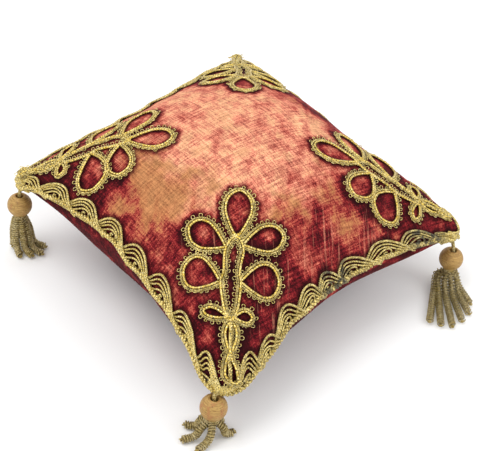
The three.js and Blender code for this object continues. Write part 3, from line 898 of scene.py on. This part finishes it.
class OBJECT_OT_cushion_stage(bpy.types.Operator):
    """Lays the floor and sets up the lights and the camera"""

    bl_idname = "cushion.stage"
    bl_label = "Floor, lights and camera"

    # The camera looks past a place over the cushion's middle, a little aside and above it.
    LOOKED_AT = Vector((0, 0, 0.042))
    ASIDE, ABOVE = 0.01812, 0.00206

    def execute(self, context):
        settings = context.scene.cushion_stage
        scene = context.scene
        made = bmesh.new()
        bmesh.ops.create_grid(made, x_segments=4, y_segments=4, size=4.0)
        mesh = bpy.data.meshes.new("floor")
        made.to_mesh(mesh)
        made.free()
        floor = bpy.data.objects.new("floor", mesh)
        scene.collection.objects.link(floor)
        mesh.materials.append(floor_material())
        turn, height, roll = settings.turn, settings.height, settings.roll
        level = math.cos(height)
        back = Vector((math.sin(turn) * level, -math.cos(turn) * level, math.sin(height)))
        right = Vector((math.cos(turn), math.sin(turn), 0))
        up = (-back).cross(right) * -1
        place = self.LOOKED_AT + back * settings.distance + right * self.ASIDE + up * self.ABOVE
        across = right * math.cos(roll) + up * math.sin(roll)
        upright = up * math.cos(roll) - right * math.sin(roll)
        camera = bpy.data.objects.new("camera", bpy.data.cameras.new("camera"))
        camera.data.lens = settings.lens
        camera.data.sensor_width = 36
        camera.data.clip_start = 0.01
        turned = Matrix((across, upright, back)).transposed()
        camera.matrix_world = Matrix.Translation(place) @ turned.to_4x4()
        scene.collection.objects.link(camera)
        scene.camera = camera
        for name, power, size, where in (
            ("main_light", settings.key, 0.9, (-0.55, 0.25, 1.35)),
            ("side_light", settings.key * 0.45, 0.7, (0.6, -1.1, 0.9)),
        ):
            data = bpy.data.lights.new(name, "AREA")
            data.energy = power
            data.shape = "DISK"
            data.size = size
            light = bpy.data.objects.new(name, data)
            light.location = where
            towards = Vector((0, 0, 0.08)) - Vector(where)
            light.rotation_euler = towards.to_track_quat("-Z", "Y").to_euler()
            scene.collection.objects.link(light)
        world = bpy.data.worlds.new("studio")
        world.use_nodes = True
        world.node_tree.nodes["Background"].inputs[0].default_value = (1.0, 1.0, 1.0, 1)
        world.node_tree.nodes["Background"].inputs[1].default_value = settings.fill
        scene.world = world
        scene.view_settings.view_transform = "Standard"
        return {"FINISHED"}


class OBJECT_OT_cushion_cloth(bpy.types.Operator):
    """Stuffs the velvet body"""

    bl_idname = "cushion.cloth"
    bl_label = "Velvet cushion"

    def execute(self, context):
        settings = context.scene.cushion_cloth
        scene = context.scene
        made = bmesh.new()
        made.from_mesh(frame["nodes"]["cushion"].data)
        bmesh.ops.remove_doubles(made, verts=made.verts, dist=1e-5)
        bmesh.ops.subdivide_edges(made, edges=made.edges, cuts=1, use_grid_fill=True)
        mesh = bpy.data.meshes.new("stuffed_cushion")
        made.to_mesh(mesh)
        made.free()
        cushion = bpy.data.objects.new("stuffed_cushion", mesh)
        scene.collection.objects.link(cushion)
        remesh = cushion.modifiers.new("facets", "REMESH")
        remesh.mode = "VOXEL"
        remesh.voxel_size = settings.voxel
        ease = cushion.modifiers.new("ease", "SMOOTH")
        ease.factor = 0.5
        ease.iterations = 3
        self.freeze(cushion)
        start = [v.co.copy() for v in cushion.data.vertices]
        outward = [v.normal.copy() for v in cushion.data.vertices]
        seam = KDTree(4 * 101)
        for k, name in enumerate(SIDES):
            for i in range(101):
                seam.insert(seam_point(name, i / 100, RISE_POWER), k * 101 + i)
        seam.balance()
        hold = cushion.vertex_groups.new(name="hold")
        for vertex, normal in zip(cushion.data.vertices, outward):
            from_seam = seam.find(vertex.co)[2]
            free = smoothstep(from_seam, 0.006, 0.03)
            if vertex.co.z < 0.002:
                free = 0.0
            hold.add([vertex.index], 1 - free, "REPLACE")
            vertex.co -= normal * settings.shrink * free
        self.stuff(context, cushion, settings)
        for vertex, home in zip(cushion.data.vertices, start):
            move = vertex.co - home
            if move.length > settings.cap:
                vertex.co = home + move.normalized() * settings.cap
            vertex.co.z = max(vertex.co.z, 0.0)
        for vertex in cushion.data.vertices:
            if vertex.co.z > 4 * MM:
                vertex.co = filled_out(vertex.co)
        self.sag(cushion)
        refine = cushion.modifiers.new("refine", "SUBSURF")
        refine.levels = refine.render_levels = 1
        self.freeze(cushion)
        for vertex in cushion.data.vertices:
            vertex.co.z = max(vertex.co.z, 0.0)
        cushion.data.materials.clear()
        cushion.data.materials.append(velvet_material(settings))
        cushion.data.shade_smooth()
        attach(cushion, "root")
        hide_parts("cushion")
        return {"FINISHED"}

    def freeze(self, cushion):
        """Keeps the shape that the modifiers give, and drops them."""
        depsgraph = bpy.context.evaluated_depsgraph_get()
        mesh = bpy.data.meshes.new_from_object(cushion.evaluated_get(depsgraph))
        cushion.modifiers.clear()
        old, cushion.data = cushion.data, mesh
        bpy.data.meshes.remove(old)
        mesh.name = cushion.name

    def stuff(self, context, cushion, settings):
        """Blows the cloth up with the stuffing's pressure, its seams and flat patch held."""
        cloth = cushion.modifiers.new("cloth", "CLOTH")
        cloth.settings.use_pressure = True
        cloth.settings.uniform_pressure_force = settings.pressure
        cloth.settings.effector_weights.gravity = 0
        cloth.settings.vertex_group_mass = "hold"
        cloth.settings.mass = 0.3
        cloth.settings.tension_stiffness = 18
        cloth.settings.compression_stiffness = 18
        cloth.settings.bending_stiffness = 0.6
        cloth.point_cache.frame_start = 1
        cloth.point_cache.frame_end = 20
        for number in range(1, 21):
            context.scene.frame_set(number)
        self.freeze(cushion)
        context.scene.frame_set(1)

    def sag(self, cushion):
        """Soft unevenness of the stuffing, fading out towards the floor."""
        cushion.data.update()
        outward = [v.normal.copy() for v in cushion.data.vertices]
        for vertex, out in zip(cushion.data.vertices, outward):
            place = vertex.co
            lump = noise.noise(place * 16) * 0.0013 + noise.noise(place * 38) * 0.0005
            vertex.co = place + out * lump * smoothstep(place.z, 0.0, 0.01)


class OBJECT_OT_cushion_braid(bpy.types.Operator):
    """Lays the scalloped braid over the seams, cord by cord"""

    bl_idname = "cushion.braid"
    bl_label = "Scalloped braid"

    # One scallop, in millimetres: across from its middle, and reach from the seam.
    ARCH = [
        (-25, -5.0), (-21, -3.4), (-17, 0.8), (-12.5, 5.8), (-6.5, 9.2), (0.5, 9.5), (7, 7.4),
        (12.5, 3.6), (17.5, -0.6), (22.5, -4.0), (27, -5.4),
    ]
    CURL = [
        (-22, -6.4), (-15, -5.2), (-9.5, -2.4), (-5, 0.8), (0.2, 2.4), (4.6, 1.0), (4.9, -2.0),
        (1.6, -3.4), (-1.7, -2.1), (-1.2, -0.2), (1.2, -0.5),
    ]
    ARCH_FOOT = -5
    LOWEST = -7.4
    INSETS = (0, 2.7, 5.2)
    TALLER = 1.4
    TALL_INSETS = (0, 2.6, 5.1, 7.4)
    FLAT_INSETS = (0, 2.4, 4.8)

    # Ropes of the hem, in millimetres: reach, wave, height, then offset, radius and pitch of a ply.
    HEM_ROPES = [(-3.9, 0.9, 2.3, 1.15, 1.25, 7.0), (-6.9, 0.4, 0.8, 0.4, 0.48, 2.8)]
    HEM_TONES = (0.4, 0.6)
    HEM_STEPS = 240

    # Cords round a corner, in millimetres: their reaches, and how far along each side they start.
    ROUND_REACHES = (-7.0, -5.4, -3.8, -2.2, -0.6, 1.0, 2.6, 4.2, 5.8, 7.2)
    ROUND_STARTS = (17, 12, 8, 4.5, 1.5)
    FLAT_BAND = [(-25, -5.2), (-19, -3.0), (-12, 2.6), (-4, 3.2), (4, 1.2), (11, -2.6), (18, -5.2)]

    def execute(self, context):
        trim = context.scene.cushion_trim
        tree = cloth_tree()
        material = thread_material(
            "gilt_braid_thread", trim.pale, trim.rich, trim.groove, 520.0, 0.4, 0.45, 0.6, 0.32, 0.0004
        )
        for name in SIDES:
            lines = []
            for k in range(SCALLOPS):
                lines += self.scallop(tree, name, k, trim)
            if name == UNEVEN_SIDE:
                for k in (SCALLOPS, SCALLOPS + 0.9):
                    lines += self.bundle(tree, name, k, self.FLAT_BAND, self.FLAT_INSETS, trim, 0.7)
            lines += self.hem(tree, name, trim)
            if name in ("front_left", "back_right"):
                for end in SIDES[name]["ends"]:
                    lines += self.turned_corner(tree, end, trim)
            mesh = tubes(f"braid_cords_{name}", lines, 1)
            piece(f"braid_cords_{name}", mesh, material, "gilt_braid", f"braid_{name}")
        return {"FINISHED"}

    def share(self, name, k, across):
        """The share of the side at a distance across from the middle of scallop k."""
        if name == UNEVEN_SIDE:
            at = clamp(k + SEWN_FIRST + across / SEWN_WIDTH, 0, len(SEWN_AT) - 1.001)
            return lerp(SEWN_AT[int(at)], SEWN_AT[int(at) + 1], at % 1)
        a, b = (CORNERS[end][2] for end in SIDES[name]["ends"])
        return (k + 0.5) / SCALLOPS + across * MM / (b - a).length

    def seated(self, tree, name, k, flat_line, heights):
        """A line drawn in millimetres on the flat, laid on the rim; None where it leaves the side."""
        leans = -1 if name in ("front_left", "back_left") else 1
        points = []
        for (across, reach), height in zip(flat_line, heights):
            share = self.share(name, k, across * leans)
            if not 0.006 < share < 0.994:
                points.append(None)
                continue
            point, normal = place_on_rim(name, share, (reach + between(RAISED[name], share)) * MM)
            point = laid(tree, filled_out(point), normal)
            points.append(point + normal * height)
        return points

    def runs(self, points):
        """The unbroken stretches of a line."""
        found, run = [], []
        for point in [*points, None]:
            if point is None:
                if len(run) > 3:
                    found.append(run)
                run = []
            else:
                run.append(point)
        return found

    def bundle(self, tree, name, k, knots, insets, trim, tone):
        """A rope along a line of knots, and smooth cords nested inside it."""
        flat = smooth_line([(x, y, 0) for x, y in knots], 1.3)
        lines = []
        for number, inset in enumerate(insets):
            shifted = []
            for i, p in enumerate(flat):
                ahead = (flat[min(i + 1, len(flat) - 1)] - flat[max(i - 1, 0)]).normalized()
                # The cords draw together towards the seam.
                spread = inset * (0.42 + 0.58 * smoothstep(p.y, -5, 6))
                shifted.append((p.x + ahead.y * spread, max(p.y - ahead.x * spread, self.LOWEST)))
            # The end of a scallop passes over the start of the next.
            heights = []
            for i in range(len(shifted)):
                share = i / (len(shifted) - 1)
                heights.append((0.9 + 1.75 * smoothstep(share, 0.55, 0.85)) * MM)
            points = self.seated(tree, name, k, shifted, heights)
            for run in self.runs(points):
                tarnish = self.tarnish(name, run)
                if number == 0:
                    for turn in (0, math.pi):
                        wound = twisted(run, trim.rope * 0.5, 3.0 * MM, turn, 7)
                        lines.append((wound, trim.rope * 0.58, tone - 0.25, self.tarnish(name, wound), False))
                else:
                    lines.append((run, trim.strand, tone, tarnish, False))
        return lines

    def scallop(self, tree, name, k, trim):
        """Nested cords along one scallop and its curl; taller, with one more, at the front tip."""
        tall = name in ("front_left", "front_right") and k == 0
        foot = self.ARCH_FOOT
        arch = [(x, lerp(foot, y, self.TALLER) if tall and y > foot else y) for x, y in self.ARCH]
        insets = self.TALL_INSETS if tall else self.INSETS
        lines = self.bundle(tree, name, k, arch, insets, trim, 0.45)
        curl = smooth_line([(x, y, 0) for x, y in self.CURL], 0.9)
        points = self.seated(tree, name, k, [(p.x, p.y) for p in curl], [1.3 * MM] * len(curl))
        for run in self.runs(points):
            lines.append((run, trim.strand, 0.35, self.tarnish(name, run), False))
        return lines

    def hem(self, tree, name, trim):
        """The rope along the braid's lower edge, and a finer one under it."""
        lines = []
        for (at, wave, height, offset, radius, pitch), tone in zip(self.HEM_ROPES, self.HEM_TONES):
            points = []
            for i in range(self.HEM_STEPS):
                share = lerp(0.004, 0.996, i / (self.HEM_STEPS - 1))
                wavy = wave * math.sin(i * 2 * math.pi * SCALLOPS / self.HEM_STEPS)
                reach = at + wavy + between(RAISED[name], share)
                point, normal = place_on_rim(name, share, reach * MM)
                points.append(laid(tree, filled_out(point), normal) + normal * (height * MM))
            for turn in (0, math.pi):
                wound = twisted(points, offset * MM, pitch * MM, turn, 7)
                lines.append((wound, radius * MM, tone, self.tarnish(name, wound), False))
        return lines

    def turned_corner(self, tree, corner, trim):
        """Cords carried round a corner, over the ends of the braid's two sides."""
        meeting = [n for n in SIDES if corner in SIDES[n]["ends"]]
        lines = []
        for number, reach in enumerate(self.ROUND_REACHES):
            knots = []
            for hand, name in enumerate(meeting):
                side = []
                for away in self.ROUND_STARTS:
                    share = away / (2 * HALF_MM)
                    share = share if SIDES[name]["ends"][0] == corner else 1 - share
                    point, normal = place_on_rim(name, share, reach * (0.6 + 0.025 * away) * MM)
                    side.append(laid(tree, filled_out(point), normal) + normal * (2.0 - 0.05 * away) * MM)
                if hand:
                    side.reverse()
                knots += side
            line = smooth_line(knots, 1.0 * MM)
            if number % 3 == 0:
                for turn in (0, math.pi):
                    wound = twisted(line, trim.rope * 0.5, 3.0 * MM, turn, 7)
                    lines.append((wound, trim.rope * 0.6, 0.3, 0.12, False))
            else:
                lines.append((line, trim.strand * 1.1, 0.5, 0.12, False))
        return lines

    def tarnish(self, name, points):
        """Two blackened places on the front right side, and a faint dulling elsewhere."""
        if name != "front_right":
            return [0.16] * len(points)
        spots = ((-0.010, 0.020), (0.098, 0.022))
        return [
            clamp(0.3 + max(1.1 - abs(p.x - x) / size for x, size in spots), 0.3, 0.9)
            for p in points
        ]


class OBJECT_OT_cushion_motifs(bpy.types.Operator):
    """Lays the looped cord motifs in the corners of the face, with their wire edging"""

    bl_idname = "cushion.motifs"
    bl_label = "Corner motifs"

    # The loops from this one on are narrow, with a cord along their middle.
    FIRST_FILLED = 7

    def execute(self, context):
        trim = context.scene.cushion_trim
        tree = cloth_tree()
        material = thread_material(
            "gilt_cord_thread", trim.pale, trim.rich, trim.groove, 420.0, 0.3, 0.6, 0.7, 0.28, 0.0003
        )
        for name in CORNERS:
            lines = []
            for number, loop in enumerate(MOTIF_LOOPS[name]):
                track = self.track(tree, name, self.outline(loop))
                lines += self.cords(track, -1, trim, 0.25 * (number % 3) * MM, number, DULLED[name])
            for number, (s, t, outer) in enumerate(STEMS):
                line = smooth_line([(a, b, 0) for a, b in zip(s, t)], 1.2)
                track = self.track(tree, name, line)
                lines += self.cords(track, -outer, trim, 0.3 * MM, 20 + number, DULLED[name])
            for loop in MOTIF_LOOPS[name][self.FIRST_FILLED:]:
                lines += self.filling(tree, name, loop)
            mesh = tubes(f"motif_cords_{name}", lines, 1)
            piece(f"motif_cords_{name}", mesh, material, "gilt_cord", f"motif_{name}")
        return {"FINISHED"}

    def filling(self, tree, name, loop):
        """A three-ply cord along the middle of a narrow loop."""
        s, t, tip_s, tip_t, _ = loop
        knots = [(lerp(s, tip_s, k), lerp(t, tip_t, k), 0) for k in (0.12, 0.4, 0.66, 0.88)]
        line = smooth_line(knots, 1.2)
        middle = [g + n * 1.3 * MM for g, n, _ in self.track(tree, name, line)]
        plies = []
        for turn in (0, 2 * math.pi / 3, 4 * math.pi / 3):
            plies.append((twisted(middle, 1.0 * MM, 7 * MM, turn, 7), 0.75 * MM, 0.35, 0.3, False))
        return plies

    def outline(self, loop):
        """A loop's whole outline from its foot round its tip and back."""
        s, t, tip_s, tip_t, width = loop
        length = math.hypot(tip_s - s, tip_t - t)
        ax, ay = (tip_s - s) / length, (tip_t - t) / length
        half = (width - 5 + LOOP_EASE * smoothstep(width, 14, 22)) / 2
        knots = []
        for hand, order in ((1, range(5)), (-1, range(3, -1, -1))):
            for i in order:
                out, run = hand * half * PETAL_OUT[i], PETAL_ALONG[i] * (length - 2.5)
                knots.append((s + ax * run - ay * out, t + ay * run + ax * out, 0))
        return smooth_line(knots, 1.2)

    def track(self, tree, name, line):
        """Places, normals and sideways directions along a line of s and t."""
        places = [place_on_motif(name, p.x, p.y) for p in line]
        grounds = [laid(tree, point, normal) + normal * lift for point, normal, lift in places]
        track = []
        for i, ground in enumerate(grounds):
            ahead = grounds[min(i + 1, len(grounds) - 1)] - grounds[max(i - 1, 0)]
            normal = places[i][1]
            track.append((ground, normal, ahead.normalized().cross(normal).normalized()))
        return track

    def cords(self, track, outer, trim, raised, seed, dulled):
        """A smooth cord, a twisted one outside it, and rings of wire along the edge."""
        inner = [g + n * (trim.cord + raised) - w * outer * 0.75 * MM for g, n, w in track]
        beside = [g + n * (0.8 * MM + raised) + w * outer * 1.15 * MM for g, n, w in track]
        edge = [g + n * (0.5 * MM + raised * 0.5) + w * outer * 2.15 * MM for g, n, w in track]
        lines = [(inner, trim.cord, 0.7, 0.0, False), (edge, trim.wire, 0.2, 0.1, False)]
        for turn in (0, math.pi):
            wound = twisted(beside, 0.38 * MM, 2.4 * MM, turn, 6)
            lines.append((wound, 0.46 * MM, 0.2, dulled, False))
        return lines + self.picots(track, outer, trim, raised, seed)

    def picots(self, track, outer, trim, raised, seed):
        """Small rings of fine wire that stand out unevenly from the cord's edge."""
        run, wanted, rings = 0.0, trim.picot / 2, []
        for (a, normal, side), (b, _, _) in zip(track, track[1:]):
            step = (b - a).length
            while run + step > wanted:
                where = a.lerp(b, (wanted - run) / step)
                uneven = noise.noise(Vector((wanted * 400, seed * 7.3, 0.5)))
                size = (1.3 + 0.55 * uneven) * MM
                lean = 0.5 + 0.9 * noise.noise(Vector((seed * 3.1, wanted * 530, 2.5)))
                along = (b - a).normalized()
                out = side * outer * math.cos(lean) + normal * math.sin(lean)
                middle = where + side * outer * 2.1 * MM + normal * (0.5 * MM + raised * 0.5) + out * size
                ring = []
                for i in range(9):
                    turn = 2 * math.pi * i / 9
                    ring.append(middle + (along * math.cos(turn) + out * math.sin(turn)) * size)
                rings.append((ring, trim.wire, 0.15, 0.1, True))
                wanted += trim.picot * (1 + 0.35 * uneven)
            run += step
        return rings


class OBJECT_OT_cushion_beads(bpy.types.Operator):
    """Turns the gilded wooden beads"""

    bl_idname = "cushion.beads"
    bl_label = "Beads"

    # Facets from hole to hole, the two that are grooves, and the depth of a groove and a fine line.
    FACETS = 24
    GROOVES_AT = (4, 20)
    GROOVE, LINE = 0.00022, 0.0001

    def execute(self, context):
        trim = context.scene.cushion_trim
        material = bead_material(trim)
        for name in TASSELS:
            made = bmesh.new()
            widest = math.acos(BEAD_HOLE / BEAD_RADIUS)
            outline = []
            for k in range(self.FACETS + 1):
                angle = lerp(-widest, widest, k / self.FACETS)
                radius = BEAD_RADIUS - self.GROOVE * (k in self.GROOVES_AT) - self.LINE * (k % 5 == 2)
                outline.append(Vector((radius * math.cos(angle), 0, radius * math.sin(angle))))
            lip = outline[-1].z
            bore = [(0.86, lip - 0.0002), (0.78, lip - 0.0012), (0.76, 0)]
            bore += [(0.78, 0.0012 - lip), (0.86, 0.0002 - lip)]
            outline += [Vector((BEAD_HOLE * wide, 0, z)) for wide, z in bore]
            ring = [made.verts.new(p) for p in outline]
            edges = [made.edges.new((a, b)) for a, b in zip(ring, ring[1:] + ring[:1])]
            bmesh.ops.spin(
                made, geom=ring + edges, cent=(0, 0, 0), axis=(0, 0, 1), angle=2 * math.pi,
                steps=40, use_merge=True,
            )
            bmesh.ops.remove_doubles(made, verts=made.verts, dist=1e-6)
            bmesh.ops.recalc_face_normals(made, faces=made.faces)
            offset = CORNERS[name][2] + Vector(TASSELS[name][0]) * MM
            bmesh.ops.translate(made, verts=made.verts, vec=offset)
            mesh = bpy.data.meshes.new(f"gilded_bead_{name}")
            made.to_mesh(mesh)
            made.free()
            piece(f"gilded_bead_{name}", mesh, material, "gilt_wood", f"bead_{name}")
        return {"FINISHED"}


class OBJECT_OT_cushion_tassels(bpy.types.Operator):
    """Hangs the tassels: twisted cord, bound knot and coiled wire strands"""

    bl_idname = "cushion.tassels"
    bl_label = "Tassels"

    # Coils of a strand, in millimetres: pitch, radius of the wire, gap to the core; the core's tone.
    CLOSE = (1.9, 0.8, 0.1, 0.3)
    PULLED_OUT = (2.9, 0.55, 0.6, 0.15)

    def execute(self, context):
        trim = context.scene.cushion_trim
        yellow = tuple(0.8 * c for c in trim.rich)
        material = thread_material(
            "coiled_wire", trim.silver, yellow, trim.groove, 2600.0, 0.1, 0.5, 0.7, 0.38, 0.0001
        )
        for name, (bead, tie, above, strands) in TASSELS.items():
            centre = CORNERS[name][2] + Vector(bead) * MM
            lines = self.hanger(name, centre, tie, above)
            lines += self.knot(centre)
            for number, strand in enumerate(strands):
                lines += self.strand(name, centre, strand, number)
            mesh = tubes(f"coiled_tassel_{name}", lines, 0)
            piece(f"coiled_tassel_{name}", mesh, material, "bullion", f"tassel_{name}")
        return {"FINISHED"}

    def hanger(self, name, centre, tie, above):
        """The cord from the knot up through the bead to the cushion's corner."""
        up = Vector((0, 0, 1))
        tied = CORNERS[name][2] + Vector(tie) * MM
        top = centre + up * (BEAD_RADIUS + above * MM)
        knots = [centre - up * 11 * MM, centre + up * BEAD_RADIUS * 0.4, top, tied + (tied - top) * 0.15]
        path = smooth_line(knots, 1.0 * MM)
        return [
            (twisted(path, 0.85 * MM, 4.2 * MM, turn * 2 * math.pi / 3, 8), 0.92 * MM, 0.4, 0.15, False)
            for turn in range(3)
        ]

    def knot(self, centre):
        """Wire wound tightly round the heads of the strands, under the bead."""
        lines = []
        path = [centre - Vector((0, 0, (9.6 + 0.5 * i) * MM)) for i in range(11)]
        lines.append((twisted(path, 4.3 * MM, 0.95 * MM, 0.0, 20), 0.55 * MM, 0.5, 0.2, False))
        lines.append((path, 4.1 * MM, 0.3, 0.4, False))
        return lines

    def strand(self, name, centre, strand, number):
        """Coiled wire round a core, from the knot down to the surface, with a curled tip."""
        turn_degrees, swell, x, y, over = strand
        turn = math.radians(turn_degrees)
        out = Vector((math.cos(turn), math.sin(turn), 0))
        root = centre - Vector((0, 0, BEAD_RADIUS + 0.001))
        lowest = STRAND_RADIUS + 0.15 * MM
        end = Vector((centre.x + x * MM, centre.y + y * MM, lowest + over * MM))
        start = root + out * 1.6 * MM
        leave = root + out * 3.2 * MM - Vector((0, 0, 0.002))
        side = root + out * swell * MM
        side.z = lerp(end.z, root.z, 0.55)
        foot = side.lerp(end, 0.3)
        foot.z = lerp(end.z, side.z, 0.12)
        path = smooth_line([start, leave, side, foot, end], 1.5 * MM)
        path = smooth_line([(p.x, p.y, max(p.z, lowest)) for p in path[::2] + [path[-1]]], 1.0 * MM)
        pitch, wire, gap, core_tone = self.PULLED_OUT if name == "right" else self.CLOSE
        wire *= MM
        radius = STRAND_RADIUS - wire
        coil = twisted(path, radius, pitch * MM, number * 1.3, 9)
        tone = 0.15 + 0.5 * abs(noise.noise(Vector((number * 1.7, len(name), 0.2))))
        lines = [(coil, wire, tone, 0.25, False)]
        core = path[: max(4, int(len(path) * 0.97))]
        lines.append((core, radius - gap * MM, core_tone, 0.4, False))
        ahead = (path[-1] - path[-3]).normalized()
        curl = twisted([path[-1] + ahead * 0.35 * MM * i for i in range(6)], 1.1 * MM, 1.1 * MM, 0.5, 9)
        lines.append((curl, 0.5 * MM, 0.6, 0.2, False))
        return lines


class OBJECT_OT_cushion_wear(bpy.types.Operator):
    """Rubs the velvet bare on its crown, and paints shade beside the trims and between a motif's stems"""

    bl_idname = "cushion.wear"
    bl_label = "Wear of the velvet"

    # Distances from a trim over which the rubbing sets in, and over which the painted shade beside it fades
    # out.
    SHELTER = (0.0012, 0.0065)
    PAINTED_SHADE_FADE = (0.0008, 0.0045)
    MOST_RUBBED = 0.93
    EVERY = 9  # one point of the trims in so many is looked at

    def execute(self, context):
        cushion = bpy.data.objects["stuffed_cushion"]
        trims = [o for o in bpy.data.objects if o.name.startswith(("braid_cords", "motif_cords"))]
        points = [v.co for trim in trims for v in list(trim.data.vertices)[::self.EVERY]]
        near = KDTree(len(points))
        for i, point in enumerate(points):
            near.insert(point, i)
        near.balance()
        rub, deep, brushed, soiled = [], [], [], []
        for vertex in cushion.data.vertices:
            place, normal = vertex.co, vertex.normal
            distance = near.find(place)[2]
            up = smoothstep(normal.z, -0.05, 0.5)
            x, y = place.x / MM, place.y / MM
            tongue = 13 * noise.noise(Vector(((x + y) / 85, (x - y) / 13, 0.4)))
            tongue += 6 * noise.noise(Vector(((x + y) / 40, (x - y) / 5, 1.4)))
            amount = self.MOST_RUBBED
            for name, from_seam in self.seam_distances(x, y).items():
                amount *= smoothstep(from_seam + tongue, *RUB_FROM[name])
            amount *= smoothstep(x + y + 2.2 * tongue, *RUB_FRONT)
            amount *= 1 - smoothstep(x + y - tongue, RUB_BACK[1], RUB_BACK[0])
            for cx, cy, radius, strength in PATCHES:
                away = math.hypot(x - cx, y - cy) / radius
                if away < 1.4:
                    amount += strength * (1 - smoothstep(away + tongue / 40, 0.5, 1.4))
            shelter = smoothstep(distance, *self.SHELTER)
            below = 0.06 + 0.1 * noise.noise(place * 30)
            bare = 0.17 + 0.72 * clamp(amount, 0.0, 1.1) * self.inside_loops(x, y)
            soil = 0
            for cx, cy, radius, much in SOILED:
                soil += much * (1 - smoothstep(math.hypot(x - cx, y - cy) / radius, 0.4, 1.3))
            soiled.append(clamp(soil + 0.25 * noise.noise(place * 22), 0.0, 1.0) * up)
            rub.append(lerp(below, bare * (0.5 + 0.5 * shelter), up))
            # Painted shade beside the trims, stronger on faces turned up.
            dark = (1 - smoothstep(distance, *self.PAINTED_SHADE_FADE)) * lerp(0.45, 0.9, up)
            deep.append(max(dark, self.painted_shade_between_stems(x, y) * up))
            brushed.append(smoothstep(-y - 0.35 * x, 60, 100) * up * (1 - smoothstep(abs(x + 20), 60, 110)))
        for key, values in (("rub", rub), ("deep", deep), ("brushed", brushed), ("soiled", soiled)):
            layer = cushion.data.attributes.new(key, "FLOAT", "POINT")
            layer.data.foreach_set("value", values)
        return {"FINISHED"}

    def seam_distances(self, x, y):
        """Millimetres in plan from each seam, as drawn in at its middle."""
        found = {}
        for name, side in SIDES.items():
            inward = INWARD[name]
            along = y if inward.x else x
            drawn_in = side["pull"] / MM * (1 - (along / HALF_MM) ** 2)
            found[name] = inward.x * x + inward.y * y + SEAM_LINES[name] - drawn_in
        return found

    def inside_loops(self, x, y):
        """The share of the wear that shows: less on the pile inside a motif's loops."""
        for name in CORNERS:
            s, t = on_motif(name, x, y)
            s = (s + STRETCH[name] * KNOT[0]) / (1 + STRETCH[name])
            t -= sideways(name, s)
            for foot_s, foot_t, tip_s, tip_t, width in MOTIF_LOOPS[name]:
                length = math.hypot(tip_s - foot_s, tip_t - foot_t)
                ax, ay = (tip_s - foot_s) / length, (tip_t - foot_t) / length
                run = ((s - foot_s) * ax + (t - foot_t) * ay) / length
                across = (t - foot_t) * ax - (s - foot_s) * ay
                if 0.05 < run < 1.02 and abs(across) < width / 2:
                    return LOOP_RUB[name]
        return 1.0

    def painted_shade_between_stems(self, x, y):
        """Painted shade: near black in the narrow strips between a motif's stems."""
        most = 0.0
        for name in CORNERS:
            s, t = on_motif(name, x, y)
            t -= sideways(name, s)
            inside = (1 - smoothstep(abs(t), 5, 9)) * smoothstep(s, 20, 30) * (1 - smoothstep(s, 72, 84))
            most = max(most, 0.85 * inside)
        return most


class VIEW3D_PT_cushion(bpy.types.Panel):
    """Lists the cushion's pieces"""

    bl_idname = "VIEW3D_PT_cushion"
    bl_label = "Velvet cushion"
    bl_space_type = "VIEW_3D"
    bl_region_type = "UI"
    bl_category = "Cushion"

    def draw(self, context):
        column = self.layout.column(align=True)
        for step in STEPS:
            column.operator(step.bl_idname)


SETTINGS = {
    "cushion_stage": CushionStageSettings,
    "cushion_cloth": CushionClothSettings,
    "cushion_trim": CushionTrimSettings,
}
STEPS = (
    OBJECT_OT_cushion_stage,
    OBJECT_OT_cushion_cloth,
    OBJECT_OT_cushion_braid,
    OBJECT_OT_cushion_motifs,
    OBJECT_OT_cushion_beads,
    OBJECT_OT_cushion_tassels,
    OBJECT_OT_cushion_wear,
)
CLASSES = (*SETTINGS.values(), *STEPS, VIEW3D_PT_cushion)


def register():
    for made in CLASSES:
        bpy.utils.register_class(made)
    for name, group in SETTINGS.items():
        setattr(bpy.types.Scene, name, PointerProperty(type=group))


def unregister():
    for name in SETTINGS:
        delattr(bpy.types.Scene, name)
    for made in reversed(CLASSES):
        bpy.utils.unregister_class(made)


def main():
    register()
    for step in STEPS:
        group, name = step.bl_idname.split(".")
        getattr(getattr(bpy.ops, group), name)()


if __name__ == "__main__":
    main()
